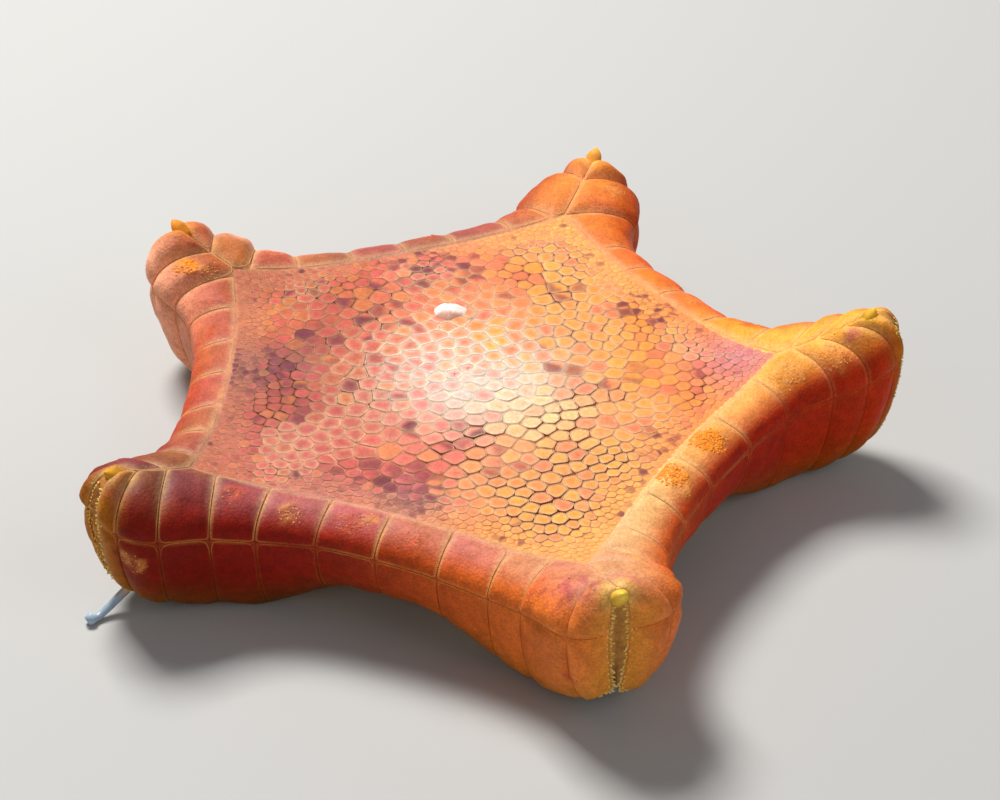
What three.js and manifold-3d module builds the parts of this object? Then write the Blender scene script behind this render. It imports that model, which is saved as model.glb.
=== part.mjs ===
// A cushion star (Peltaster placenta), a stout five-armed sea star, life size.
// Millimetres, +Z up, floor at z = 0. The body is one closed skin built from three
// families of surface, welded along shared edges and then parted at the arm bases:
//   fans    the flat upper disc and the under side between the arms
//   bands   the thick rim of paired marginal plates, from the upper edge to the under edge
//   strips  the five furrows of the tube feet, from the mouth up to the terminal plates
import * as THREE from 'three';
import { mergeVertices } from 'three/addons/utils/BufferGeometryUtils.js';
import Module from 'manifold-3d';

// ---- driving dimensions --------------------------------------------------------------

// Where the middle of the disc lies: the box of the whole animal is centred on the origin.
const DISC_CENTRE = [-5.965, -0.813];

// Arms, counter-clockwise seen from above. angle: degrees from +X. apex: middle of the disc
// to the corner where the tiled disc ends. reach: from there to the terminal plate.
// lift: how far the tip turns up. wide_cw, wide_ccw: width of the rim on either side of the
// arm. over: how far the sole bulges past the terminal plate. foot: half width of the sole
// that lies on the floor. heel: share of the apex radius where the sole turns up.
// blunt: 1 for a rounded end, more for a pointed one.
const ARMS = [
  { name: 'right', angle: 2.5, apex: 52.6, reach: 15.0, lift: 9.5,
    wide_cw: 9.5, wide_ccw: 12.5, over: 6.0, foot: 4.5, heel: 0.86, blunt: 1.0 },
  { name: 'back', angle: 71.5, apex: 54.1, reach: 18.5, lift: 2.0,
    wide_cw: 13.5, wide_ccw: 12.0, over: 1.5, foot: 7.0, heel: 0.86, blunt: 1.2 },
  { name: 'back_left', angle: 144.7, apex: 52.8, reach: 12.0, lift: 5.5,
    wide_cw: 11.5, wide_ccw: 12.0, over: 3.0, foot: 7.0, heel: 0.86, blunt: 1.0 },
  { name: 'left', angle: 213.4, apex: 54.0, reach: 12.8, lift: 6.0,
    wide_cw: 11.0, wide_ccw: 12.5, over: 4.5, foot: 8.0, heel: 0.86, blunt: 1.0 },
  { name: 'front', angle: 288.6, apex: 58.6, reach: 12.5, lift: 7.5,
    wide_cw: 11.0, wide_ccw: 14.0, over: 1.0, foot: 6.0, heel: 0.79, blunt: 1.0 },
];

const TOP_HEIGHT = 21.0;        // upper disc above the floor
const DOME = 0.8;               // how much the middle of the disc is higher than its edge
const DISC_RADIUS = 50.0;       // radius that the dome runs out at
const LIFT_START = 0.80;        // share of the apex radius where the upper side turns up
const LIFT_POWER = 1.6;

const SIDE_SAG = 3.0;           // hollow of each side between two arms
const RIM_WIDTH = 7.2;          // rim in the middle of a side, seen from above
const APEX_TURN = 62;           // degrees between the arm's axis and the plates at the apex
const SEAM_SHARE = 0.71;        // height of the seam between upper and lower plates
const SEAM_DROP_AT_TIP = 0.20;
const UNDERCUT = 0.62;          // share of the rim's width that the lower plates roll under

const ARCH_HEIGHT = 8.5;        // under side of a side's middle above the floor
const ARCH_RUN = 17.0;          // width over which the arch rises
const MOUTH_RISE = 4.5;         // under side at the mouth above the floor
const MOUTH_RUN = [10, 36];     // radii between which it comes down to the floor
const FLAT_TRIM = 1.0;          // pressed flat where the soles meet the floor
const SOLE_SHARE = 0.48;        // height of the sole at the tip, as a share of the top

const PLATES = 12;              // marginal plates from tip to tip along one side
const PLATES_PAST_APEX = 7 / 3; // of them, how many meet their opposite ones past the apex
const PLATE_NARROWING = 0.15;   // the plates get narrower towards the arms
const PLATE_SWELL = 0.8;        // how far a plate stands out between its seams
const PLATE_SWELL_AT_TIP = 0.9; // added to it at the tips

const FURROW_DEPTH = 3.2;       // furrow of the tube feet
const FURROW_SHARE = 0.8;       // or this share of its width, where that is less
const FURROW_GAP_AT_TIP = 1.6;  // half width between the two rims at the tip
const HALF_TURN = 36;           // degrees from an arm to the middle of the next side
const JAW_RADIUS = 5.2;         // corners of the mouth
const MOUTH_DEPTH = 5.0;

const CUT_RADIUS = 41.0;        // the arms part from the disc at this distance
const CUT = 0.3;                // width of each parting cut, and of the gap round each plug

const MADREPORITE = { x: -3.8, y: 17.8, radius: 3.0, height: 1.2, depth: 1.6 };
const TERMINAL = { radius: 1.9, length: 2.6, root: 2.2, tilt: 40 };
const JAW = { radius: 1.5, length: 2.6, root: 2.2, inset: 1.5, droop: 0.8 };

// Cells of the faceted skin
const CELLS_PER_PLATE = 3;
const RIM_CELLS = 8;
const FAN_CELLS = 4;
const STRIP_CELLS = 4;
const MOUTH_CELLS = 3;
const PLUG_STEPS = 4;
const PLUG_SIDES = 10;

const ORANGE = 0xd9683a;
const RUST = 0xb8442a;
const YELLOW = 0xe0a23c;
const CREAM = 0xe9ddc8;

// ---- small helpers -------------------------------------------------------------------

const rad = THREE.MathUtils.degToRad;
const clamp = THREE.MathUtils.clamp;
const smooth = (value, from, to) => THREE.MathUtils.smoothstep(value, from, to);
const quarter = Math.PI / 2;

const arms = ARMS.map((arm) => {
  const along = new THREE.Vector2(Math.cos(rad(arm.angle)), Math.sin(rad(arm.angle)));
  const across = new THREE.Vector2(-along.y, along.x);
  return { ...arm, along, across, tip: arm.apex + arm.reach };
});

const jawCorner = (arm) => {
  const turn = rad(arm.angle + HALF_TURN);
  return new THREE.Vector2(JAW_RADIUS * Math.cos(turn), JAW_RADIUS * Math.sin(turn));
};

const onArm = (arm, distance, sideways = 0) => arm.along.clone()
  .multiplyScalar(distance)
  .addScaledVector(arm.across, sideways);

// ---- heights -------------------------------------------------------------------------

function topHeight(p) {
  let z = TOP_HEIGHT + DOME * (1 - Math.min(1, p.length() / DISC_RADIUS) ** 2);
  for (const arm of arms) {
    const start = LIFT_START * arm.apex;
    const rise = clamp((p.dot(arm.along) - start) / (arm.tip - start), 0, 1.2);
    z += arm.lift * rise ** LIFT_POWER;
  }
  return z;
}

function soleHeight(p) {
  const nearest = arms.reduce((a, b) => (p.dot(b.along) > p.dot(a.along) ? b : a));
  const distance = p.dot(nearest.along);
  const sideways = Math.abs(p.dot(nearest.across));
  const arch = ARCH_HEIGHT * smooth(sideways, nearest.foot, nearest.foot + ARCH_RUN);
  const mouth = MOUTH_RISE * (1 - smooth(distance, ...MOUTH_RUN));
  const start = nearest.heel * nearest.apex;
  const turn = clamp((distance - start) / (nearest.tip + nearest.over - start), 0, 1);
  const tip = (TOP_HEIGHT + nearest.lift) * SOLE_SHARE * (1 - Math.sqrt(1 - turn * turn));
  return Math.max(0, arch + mouth + tip - FLAT_TRIM);
}

// ---- the rim -------------------------------------------------------------------------

// One line across the rim: its inner end on the disc's edge or on the arm's middle line,
// its outer end at the widest place, and how near it is to the tip (0 at the apex, 1 at it).
function rimLine(armA, armB, plate) {
  const past = PLATES_PAST_APEX;
  const onA = plate < PLATES / 2;
  const arm = onA ? armA : armB;
  const side = onA ? 1 : -1;
  const wide = onA ? arm.wide_ccw : arm.wide_cw;
  const fromTip = onA ? plate : PLATES - plate;
  const turned = onArm(arm, Math.cos(rad(APEX_TURN)), side * Math.sin(rad(APEX_TURN)));
  if (fromTip < past) {
    const tipness = 1 - fromTip / past;
    const corner = arm.apex + wide * Math.cos(rad(APEX_TURN));
    const half = wide * Math.sin(rad(APEX_TURN)) - FURROW_GAP_AT_TIP;
    const distance = corner + (arm.tip + arm.over - corner) * Math.sin(tipness * quarter);
    const sideways = FURROW_GAP_AT_TIP + half * Math.cos(tipness * quarter) ** arm.blunt;
    return {
      inner: onArm(arm, arm.apex + arm.reach * tipness),
      outer: onArm(arm, distance, side * sideways),
      tipness,
    };
  }
  const from = onArm(armA, armA.apex);
  const to = onArm(armB, armB.apex);
  const middle = from.clone().add(to).multiplyScalar(0.5);
  const halfChord = to.clone().sub(from).multiplyScalar(0.5);
  const outward = new THREE.Vector2(halfChord.y, -halfChord.x).normalize();
  let t = (2 * (plate - past)) / (PLATES - 2 * past) - 1;
  t *= 1 + PLATE_NARROWING * (1 - t * t);
  const inner = middle.clone().addScaledVector(halfChord, t)
    .addScaledVector(outward, -SIDE_SAG * (1 - t * t));
  const toApex = Math.abs(t) ** 3;
  const direction = outward.clone().lerp(turned, toApex).normalize();
  const width = RIM_WIDTH + (wide - RIM_WIDTH) * toApex;
  return { inner, outer: inner.clone().addScaledVector(direction, width), tipness: 0 };
}

// A point on such a line: w = 0 at the inner end, 0.5 at the seam, 1 at the under edge.
function rimPoint(line, w) {
  const upper = Math.min(1, 2 * w) * quarter;
  const lower = Math.max(0, 2 * w - 1) * quarter;
  const out = Math.sin(upper) - UNDERCUT * (1 - Math.cos(lower));
  const seam = SEAM_SHARE - SEAM_DROP_AT_TIP * line.tipness;
  const share = w <= 0.5
    ? seam + (1 - seam) * Math.cos(upper)
    : seam * (1 - Math.sin(lower));
  const p = line.inner.clone().lerp(line.outer, out);
  const low = soleHeight(p);
  return new THREE.Vector3(p.x, p.y, low + share * (topHeight(p) - low));
}

const roundTop = (x) => Math.sqrt(Math.max(0, 4 * (x % 1) * (1 - (x % 1))));

// The grid of one side's rim, tip to tip, each plate swollen between its seams.
function rimGrid(armA, armB) {
  const columns = PLATES * CELLS_PER_PLATE;
  const lines = [];
  for (let i = 0; i <= columns; i += 1) {
    lines.push(rimLine(armA, armB, i / CELLS_PER_PLATE));
  }
  const base = lines.map((line) => {
    const row = [];
    for (let j = 0; j <= RIM_CELLS; j += 1) row.push(rimPoint(line, j / RIM_CELLS));
    return row;
  });
  return base.map((row, i) => row.map((point, j) => {
    const next = base[Math.min(i + 1, columns)][j];
    const last = base[Math.max(i - 1, 0)][j];
    const below = row[Math.min(j + 1, RIM_CELLS)];
    const above = row[Math.max(j - 1, 0)];
    const normal = below.clone().sub(above).cross(next.clone().sub(last)).normalize();
    const swell = (PLATE_SWELL + PLATE_SWELL_AT_TIP * lines[i].tipness)
      * roundTop(i / CELLS_PER_PLATE) * roundTop((2 * j) / RIM_CELLS);
    const moved = point.clone().addScaledVector(normal, swell);
    moved.z = Math.max(0, moved.z);
    return moved;
  }));
}

// ---- one closed skin -----------------------------------------------------------------

class Skin {
  constructor() {
    this.points = [];
  }

  triangle(a, b, c) {
    this.points.push(a.x, a.y, a.z, b.x, b.y, b.z, c.x, c.y, c.z);
  }

  // Two neighbouring rows of points, seen from outside with the first row on the left.
  between(first, second) {
    for (let i = 0; i + 1 < first.length; i += 1) {
      this.triangle(first[i], second[i], second[i + 1]);
      this.triangle(first[i], second[i + 1], first[i + 1]);
    }
  }

  geometry() {
    const raw = new THREE.BufferGeometry();
    raw.setAttribute('position', new THREE.Float32BufferAttribute(this.points, 3));
    return raw;
  }
}

function buildSkin() {
  const skin = new Skin();
  const rims = arms.map((arm, i) => rimGrid(arm, arms[(i + 1) % arms.length]));
  const past = PLATES_PAST_APEX * CELLS_PER_PLATE;
  const columns = PLATES * CELLS_PER_PLATE;
  const jaws = arms.map(jawCorner);

  // Rows from the rim to a single point, at the height that a function gives.
  const spokes = (from, target, height) => {
    const row = [];
    for (let r = 0; r <= FAN_CELLS; r += 1) {
      const p = new THREE.Vector2(from.x, from.y).lerp(target, r / FAN_CELLS);
      row.push(r === 0 ? from : new THREE.Vector3(p.x, p.y, height(p)));
    }
    return row;
  };

  const underEdges = [];
  rims.forEach((rim, k) => {
    for (let i = 0; i < columns; i += 1) skin.between(rim[i + 1], rim[i]);
    const upper = [];
    const under = [];
    for (let i = past; i <= columns - past; i += 1) {
      upper.push(spokes(rim[i][0], new THREE.Vector2(), topHeight));
      under.push(spokes(rim[i][RIM_CELLS], jaws[k], soleHeight));
    }
    for (let i = 0; i + 1 < upper.length; i += 1) {
      skin.between(upper[i], upper[i + 1]);
      skin.between(under[i + 1], under[i]);
    }
    underEdges.push({ first: under[0], last: under[under.length - 1] });
  });

  // The furrow strips: rows across each arm, from the mouth out and up the end wall.
  const mouthRing = [];
  arms.forEach((arm, k) => {
    const before = (k + arms.length - 1) % arms.length;
    const right = rims[before];
    const left = rims[k];
    const edges = [];
    for (let r = FAN_CELLS; r > 0; r -= 1) {
      edges.push([underEdges[before].last[r], underEdges[k].first[r]]);
    }
    for (let i = past; i > 0; i -= 1) {
      edges.push([right[columns - i][RIM_CELLS], left[i][RIM_CELLS]]);
    }
    for (let j = RIM_CELLS; j >= 0; j -= 1) {
      edges.push([right[columns][j], left[0][j]]);
    }
    const rows = edges.map(([a, b], r) => {
      const nextEdge = edges[Math.min(r + 1, edges.length - 1)];
      const lastEdge = edges[Math.max(r - 1, 0)];
      const ahead = nextEdge[0].clone().add(nextEdge[1]).sub(lastEdge[0]).sub(lastEdge[1]);
      const inward = ahead.cross(new THREE.Vector3(arm.across.x, arm.across.y, 0)).normalize();
      const width = a.distanceTo(b);
      const depth = Math.min(FURROW_DEPTH, FURROW_SHARE * width);
      const row = [];
      for (let c = 0; c <= STRIP_CELLS; c += 1) {
        const share = c / STRIP_CELLS;
        row.push(a.clone().lerp(b, share)
          .addScaledVector(inward, depth * Math.sin(Math.PI * share) ** 2));
      }
      return row;
    });
    for (let r = 0; r + 1 < rows.length; r += 1) skin.between(rows[r + 1], rows[r]);
    mouthRing.push(...rows[0].slice(0, -1));
  });

  // The mouth: rings from the inner ends of the strips in and up to a point.
  mouthRing.push(mouthRing[0]);
  let ring = mouthRing;
  for (let r = 1; r <= MOUTH_CELLS; r += 1) {
    const share = r / MOUTH_CELLS;
    const next = mouthRing.map((p) => new THREE.Vector3(
      p.x * (1 - share), p.y * (1 - share),
      THREE.MathUtils.lerp(p.z, MOUTH_RISE + MOUTH_DEPTH, Math.sin(share * quarter)),
    ));
    skin.between(ring, next);
    ring = next;
  }
  return skin.geometry();
}

// ---- solids --------------------------------------------------------------------------

const wasm = await Module();
wasm.setup();

function solidOf(geometry) {
  const bare = geometry.clone();
  bare.deleteAttribute('normal');
  bare.deleteAttribute('uv');
  const merged = mergeVertices(bare, 1e-4);
  const kept = [];
  const index = merged.index.array;
  for (let i = 0; i < index.length; i += 3) {
    const [a, b, c] = [index[i], index[i + 1], index[i + 2]];
    if (a !== b && b !== c && c !== a) kept.push(a, b, c);
  }
  return new wasm.Manifold(new wasm.Mesh({
    numProp: 3,
    vertProperties: new Float32Array(merged.attributes.position.array),
    triVerts: new Uint32Array(kept),
  }));
}

function geometryOf(solid) {
  const mesh = solid.getMesh();
  const geometry = new THREE.BufferGeometry();
  geometry.setAttribute('position', new THREE.BufferAttribute(mesh.vertProperties, 3));
  geometry.setIndex(new THREE.BufferAttribute(mesh.triVerts, 1));
  geometry.computeVertexNormals();
  return geometry;
}

// A round plug about its own +Z: a buried root, then a rounded head. grow widens it all
// round, which makes the socket that it sits in.
function plug(radius, root, head, headPower, grow = 0) {
  const profile = [
    new THREE.Vector2(0, -root - grow),
    new THREE.Vector2(radius + grow, -root - grow),
  ];
  for (let i = 0; i <= PLUG_STEPS; i += 1) {
    const turn = (i / PLUG_STEPS) * quarter;
    profile.push(new THREE.Vector2(
      (radius + grow) * Math.cos(turn) ** headPower,
      (head + grow) * Math.sin(turn),
    ));
  }
  profile[profile.length - 1].x = 0;
  return new THREE.LatheGeometry(profile, PLUG_SIDES);
}

// Turns a lathe's +Y axis to a direction and moves it to a place.
function place(geometry, at, direction) {
  const turn = new THREE.Quaternion()
    .setFromUnitVectors(new THREE.Vector3(0, 1, 0), direction.clone().normalize());
  return geometry.applyQuaternion(turn).translate(at.x, at.y, at.z);
}

// ---- the small pieces ----------------------------------------------------------------

const smallPieces = [];

function addPlug(name, colour, shape, at, direction) {
  const make = (grow) => place(plug(...shape, grow), at, direction);
  smallPieces.push({ name, colour, solid: solidOf(make(0)), socket: solidOf(make(CUT)) });
}

function addMadreporite() {
  const { x, y, radius, height, depth } = MADREPORITE;
  const at = new THREE.Vector3(x, y, topHeight(new THREE.Vector2(x, y)));
  addPlug('madreporite', CREAM, [radius, depth, height, 0.8], at, new THREE.Vector3(0, 0, 1));
}

function addTerminals() {
  for (const arm of arms) {
    const p = onArm(arm, arm.tip);
    const rise = rad(TERMINAL.tilt);
    const direction = new THREE.Vector3(
      arm.along.x * Math.cos(rise), arm.along.y * Math.cos(rise), Math.sin(rise),
    );
    const at = new THREE.Vector3(p.x, p.y, topHeight(p));
    addPlug(`terminal_${arm.name}`, YELLOW,
      [TERMINAL.radius, TERMINAL.root, TERMINAL.length, 1.3], at, direction);
  }
}

function addJaws() {
  arms.forEach((arm, k) => {
    const p = jawCorner(arm);
    const direction = new THREE.Vector3(-p.x, -p.y, -JAW_RADIUS * JAW.droop);
    const at = new THREE.Vector3(p.x, p.y, soleHeight(p) + JAW.inset);
    addPlug(`jaw_${k + 1}`, YELLOW, [JAW.radius, JAW.root, JAW.length, 0.9], at, direction);
  });
}

// ---- parting -------------------------------------------------------------------------

// Everything outside the cut across one arm, as a box larger than the arm.
const BLOCK = 80;

function beyond(arm, from) {
  const box = new THREE.BoxGeometry(BLOCK, 2 * BLOCK, 2 * BLOCK);
  box.rotateZ(rad(arm.angle));
  const middle = onArm(arm, from + BLOCK / 2);
  return solidOf(box.translate(middle.x, middle.y, 0));
}

const starfish = new THREE.Group();

function addMesh(name, colour, solid, roughness) {
  const material = new THREE.MeshStandardMaterial({ color: colour, roughness, metalness: 0 });
  const mesh = new THREE.Mesh(geometryOf(solid), material);
  mesh.name = name;
  starfish.add(mesh);
}

addMadreporite();
addTerminals();
addJaws();

let body = solidOf(buildSkin());
for (const piece of smallPieces) body = body.subtract(piece.socket);

let disc = body;
for (const arm of arms) {
  disc = disc.subtract(beyond(arm, CUT_RADIUS));
  addMesh(`arm_${arm.name}`, ORANGE, body.intersect(beyond(arm, CUT_RADIUS + CUT)), 0.55);
}
addMesh('disc', RUST, disc, 0.6);
for (const piece of smallPieces) addMesh(piece.name, piece.colour, piece.solid, 0.5);

starfish.position.set(DISC_CENTRE[0], DISC_CENTRE[1], 0);

export default starfish;
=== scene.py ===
"""A cushion star (Peltaster placenta), a stout five-armed sea star, life size.

Shapes are worked out in millimetres from the middle of the disc, +Z up, floor at z = 0, and
become metres in the part's own frame when their mesh is made.

  body       one closed skin over all the flesh: rim of paired marginal plates, hide of the
             upper and under side, five furrows and the mouth
  tiles      the flat plates of the upper side, with a ring of granules round each, and the
             same on the under side
  rim beads  the double rows of granules along the seams of the rim, and its rough patches
  small ones sieve plate, tip plates, jaws, spines along the furrows, tube feet

Arms are numbered from 0, counter-clockwise from the right one, and each side of the disc has the
number of the arm before it. plan means x and y, and w is a place across the rim, from 0 at its
upper edge to 1 at its hem. The last number given to noise() picks its pattern.
"""

import math
from itertools import product

import bpy
import numpy as np
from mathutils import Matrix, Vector
from mathutils.geometry import delaunay_2d_cdt


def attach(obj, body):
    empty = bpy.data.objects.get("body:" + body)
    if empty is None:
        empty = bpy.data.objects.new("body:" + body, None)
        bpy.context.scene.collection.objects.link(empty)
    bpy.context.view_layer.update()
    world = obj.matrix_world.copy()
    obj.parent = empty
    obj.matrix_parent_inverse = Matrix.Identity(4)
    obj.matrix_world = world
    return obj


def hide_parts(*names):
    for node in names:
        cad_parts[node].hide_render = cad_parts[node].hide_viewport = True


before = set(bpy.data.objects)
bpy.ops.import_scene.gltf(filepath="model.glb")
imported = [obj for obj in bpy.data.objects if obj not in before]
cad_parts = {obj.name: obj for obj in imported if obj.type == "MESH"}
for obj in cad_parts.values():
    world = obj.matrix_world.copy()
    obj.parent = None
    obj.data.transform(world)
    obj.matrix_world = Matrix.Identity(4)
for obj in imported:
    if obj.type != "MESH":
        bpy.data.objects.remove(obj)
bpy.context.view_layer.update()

# ---- driving dimensions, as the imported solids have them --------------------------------

DISC_CENTRE = np.array([-5.965, -0.813])
MM = 0.001
QUARTER = math.pi / 2

# An arm's bearing in degrees; then in mm how far out its apex is, its reach from there to the
# tip, the tip's lift, the rim's width at the apex on each side, how far the end wall swells past
# the tip and half the width of the sole; then where the sole leaves the floor, as a share of the
# way to the apex, and how blunt the end is
ARM_FIELDS = ("name", "angle", "apex", "reach", "lift", "wide_cw", "wide_ccw", "over",
              "foot", "heel", "blunt")
ARM_ROWS = (
    ("right", 2.5, 52.6, 15.0, 9.5, 9.5, 12.5, 6.0, 4.5, 0.86, 1.0),
    ("back", 71.5, 54.1, 18.5, 2.0, 13.5, 12.0, 1.5, 7.0, 0.86, 1.2),
    ("back_left", 144.7, 52.8, 12.0, 5.5, 11.5, 12.0, 3.0, 7.0, 0.86, 1.0),
    ("left", 213.4, 54.0, 12.8, 6.0, 11.0, 12.5, 4.5, 8.0, 0.86, 1.0),
    ("front", 288.6, 58.6, 12.5, 7.5, 11.0, 14.0, 1.0, 6.0, 0.79, 1.0),
)

# The upper side
TOP_HEIGHT = 21.0            # at the rim, between the arms
DOME = 0.8                   # how much higher the middle is
DISC_RADIUS = 50.0
LIFT_START = 0.80            # where an arm starts to turn up, as a share of the way to its apex
LIFT_POWER = 1.6
# The rim
SIDE_SAG = 3.0               # how far a side curves in between two arms
RIM_WIDTH = 7.2
APEX_TURN = math.radians(62)  # how far the rim's lines have turned outward at the apex
SEAM_SHARE = 0.71            # height of the seam between the two rows, as a share of the rim's
SEAM_DROP_AT_TIP = 0.20
UNDERCUT = 0.62              # how far the lower row leans back in
PLATES = 12                  # plates from one arm's tip to the next
PAST_APEX = 7 / 3            # of which so many lie beyond each apex
PLATE_NARROWING = 0.15
# The under side
ARCH_HEIGHT = 8.5
ARCH_RUN = 17.0
MOUTH_RISE = 4.5
MOUTH_RUN = (10.0, 36.0)     # between these distances the rise round the mouth fades out
FLAT_TRIM = 1.0
SOLE_SHARE = 0.48            # height of the hem at the tip, as a share of the tip's own
FURROW_DEPTH = 3.2
FURROW_SHARE = 0.8           # the most that a furrow may be deep, as a share of its width
FURROW_GAP_AT_TIP = 1.6
JAW_RADIUS = 5.2
MOUTH_DEPTH = 5.0
HALF_SECTOR = math.radians(36)
# The tip plates, arm by arm
TIP_DROPS = (0.6, 0.0, 0.0, 0.6, 1.5)   # how far down the end wall each sits
TIP_TILTS = (62, 40, 36, 40, 50)        # and how steeply it points up, in degrees

# Seams across the rim, counted in plates: on each arm from its tip (both sides alike), then
# on each side from the tip of its first arm
TIP_SEAMS = ((0.6, 1.3, 1.95), (0.94,), (1.35,), (0.65, 1.6), (1.2,))
SIDE_SEAMS = (
    (3.3, 4.63, 5.84, 6.87, 7.82, 9.6),
    (2.75, 3.83, 5.07, 6.03, 6.99, 8.11, 9.2),
    (2.7, 3.88, 5.03, 6.07, 7.09, 7.97, 9.03),
    (2.95, 4.0, 5.05, 6.01, 7.03, 8.01, 8.88),
    (2.45, 3.1, 4.03, 5.02, 6.06, 7.34, 8.67),
)
KNUCKLES = (1.0, 2.1, 2.2, 0.9, 2.1)   # how far the plates at each arm's tip stand out

# The skin's own relief
SWELL = 0.60                 # a rim plate above its seams
KNUCKLE_RUN = 4.2            # plates from the tip over which the knuckles fade
SWELL_EDGE = 2.6             # rounding of a plate's edge
LIP = 0.10                   # low welt along each side of a seam
LIP_AT = 0.24
LIP_SPREAD = 0.12
GROOVE = 0.08
GROOVE_SPREAD = 0.10
CORNER = 0.45                # rounded corner of a rim plate
HIDE_DROP = 0.13             # the hide between the tiles, below their faces
CRACK_DROP = 0.22            # the same where the tiles part
UNDER_DROP = 0.30            # the same on the under side

# Cells of the skin
PLATE_COLUMNS = 16
HALF_ROWS = 26
FAN_ROWS = 24
FAN_STEPS = np.concatenate([[0, 0.004, 0.010, 0.02, 0.04], np.linspace(0.08, 1, FAN_ROWS - 4)])
UNDER_STEPS = np.arange(FAN_ROWS + 1) / FAN_ROWS
STRIP_CELLS = 10
MOUTH_CELLS = 8


def rgb(red, green, blue):
    """A colour on the usual 0 to 255 scale as linear values."""
    value = np.array([red, green, blue]) / 255
    return np.where(value <= 0.04045, value / 12.92, ((value + 0.055) / 1.055) ** 2.4)


CREAM = rgb(255, 226, 178)
WHITE = rgb(255, 246, 238)
SEAM_LINE = rgb(252, 194, 116)
SEAM_LOW = rgb(255, 156, 62)
SEAM_GAP = rgb(160, 52, 24)
# the dark of the cracks between plates, partly the deep hide and partly painted shade
CRACK_SHADE = rgb(150, 40, 22)
SALMON = rgb(240, 122, 84)
ORANGE = rgb(250, 142, 70)
AMBER = rgb(252, 174, 62)
PINK = rgb(224, 96, 92)
MAUVE = rgb(138, 74, 98)
PLUM = rgb(112, 50, 64)
RUST = rgb(205, 86, 48)
TILE_RIM = rgb(255, 218, 176)
GOLD = rgb(255, 146, 0)
BRICK = rgb(206, 84, 44)
HONEY = rgb(240, 158, 78)
ROSE = rgb(176, 72, 84)
FURROW_SKIN = rgb(190, 116, 60)
FURROW_FLOOR_SHADE = rgb(112, 40, 18)
MOUTH_LIP = rgb(196, 110, 60)
MOUTH_FLOOR_SHADE = rgb(90, 40, 26)
UNDER_TAN = rgb(232, 172, 96)
UNDER_SAND = rgb(238, 200, 140)
SMALL_TILE_ROSE = rgb(212, 128, 98)
SMALL_TILE_GOLD = rgb(255, 186, 104)
SIEVE_GROOVE_SHADE = rgb(222, 178, 160)
SIEVE_BROWN_AND_SHADE = rgb(196, 128, 100)
JAW_TONE = rgb(226, 178, 110)
JAW_SPINE_ROOT = rgb(214, 150, 90)
SPINE_LOW = rgb(226, 160, 60)
SPINE_HIGH = rgb(240, 196, 92)

# ---- small helpers ---------------------------------------------------------------------


def smooth(value, low, high):
    """0 up to low, 1 from high on, and a soft step between; low may be the greater one."""
    share = np.clip((value - low) / (high - low), 0, 1)
    return share * share * (3 - 2 * share)


def mix(first, second, share):
    """The first value, or by a share of 1 the second."""
    share = np.asarray(share, float)[..., None]
    return first * (1 - share) + second * share


def bell(value, middle, spread):
    """1 at the middle, and fading away on both sides."""
    return np.exp(-(((value - middle) / spread) ** 2))


def unit(vectors):
    """Vectors made 1 long."""
    length = np.linalg.norm(vectors, axis=-1, keepdims=True)
    return vectors / np.maximum(length, 1e-9)


def noise(points, size, seed):
    """Smooth noise from -1 to 1, with bumps about size mm apart."""
    scaled = np.asarray(points, float) / size
    cell = np.floor(scaled).astype(np.int64)
    inside = scaled - cell
    inside = inside * inside * (3 - 2 * inside)
    total = np.zeros(scaled.shape[:-1])
    for corner in product((0, 1), repeat=3):
        key = cell + corner
        mixed = (key[..., 0] * 73856093) ^ (key[..., 1] * 19349663)
        mixed = mixed ^ (key[..., 2] * 83492791) ^ (seed * 39916801)
        mixed = ((mixed ^ (mixed >> 9)) * 668265263) & 0xFFFFFF
        mixed = ((mixed ^ (mixed >> 11)) * 374761393) & 0xFFFFFF
        weight = np.where(corner, inside, 1 - inside).prod(-1)
        total += weight * mixed / 0xFFFFFF
    return 2 * total - 1


def lifted(plan, height=0.0):
    """Points of the plan, with a height."""
    height = np.broadcast_to(height, plan.shape[:-1])
    return np.concatenate([plan, height[..., None]], -1)


def ray(turn):
    """The direction of a turn, in the plan."""
    return np.stack([np.cos(turn), np.sin(turn)], -1)


def turns(count):
    """Even turns of a whole circle."""
    return np.arange(count) / count * 2 * math.pi


def from_spot(points, x, y):
    """How far points are from a spot, in the plan."""
    return np.hypot(points[..., 0] - x, points[..., 1] - y)


def run_along(line):
    """Length along a line, up to each of its points."""
    return np.concatenate([[0], np.cumsum(np.linalg.norm(np.diff(line, axis=0), axis=1))])


def at_marks(marks, run, values):
    """Values at the points of a line, read off at other lengths along it."""
    return np.stack([np.interp(marks, run, column) for column in values.T], -1)


class Arm:
    """One arm: the measures of its row, and its directions in the plan."""

    def __init__(self, row):
        self.__dict__.update(zip(ARM_FIELDS, row))
        turn = math.radians(self.angle)
        self.along = ray(turn)
        self.across = np.array([-self.along[1], self.along[0]])
        self.tip = self.apex + self.reach
        self.jaw = JAW_RADIUS * ray(turn + HALF_SECTOR)

    def at(self, distance, sideways=0.0):
        """A place in the plan, out along the arm and to its left."""
        distance = np.asarray(distance, float)[..., None]
        sideways = np.asarray(sideways, float)[..., None]
        return distance * self.along + sideways * self.across


ARMS = [Arm(row) for row in ARM_ROWS]

# ---- heights ---------------------------------------------------------------------------


def top_height(p):
    """Height of the upper side: a low dome, and arms that turn up."""
    z = TOP_HEIGHT + DOME * (1 - np.minimum(1, np.linalg.norm(p, axis=-1) / DISC_RADIUS) ** 2)
    for arm in ARMS:
        start = LIFT_START * arm.apex
        rise = np.clip((p @ arm.along - start) / (arm.tip - start), 0, 1.2)
        z = z + arm.lift * rise ** LIFT_POWER
    return z


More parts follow.
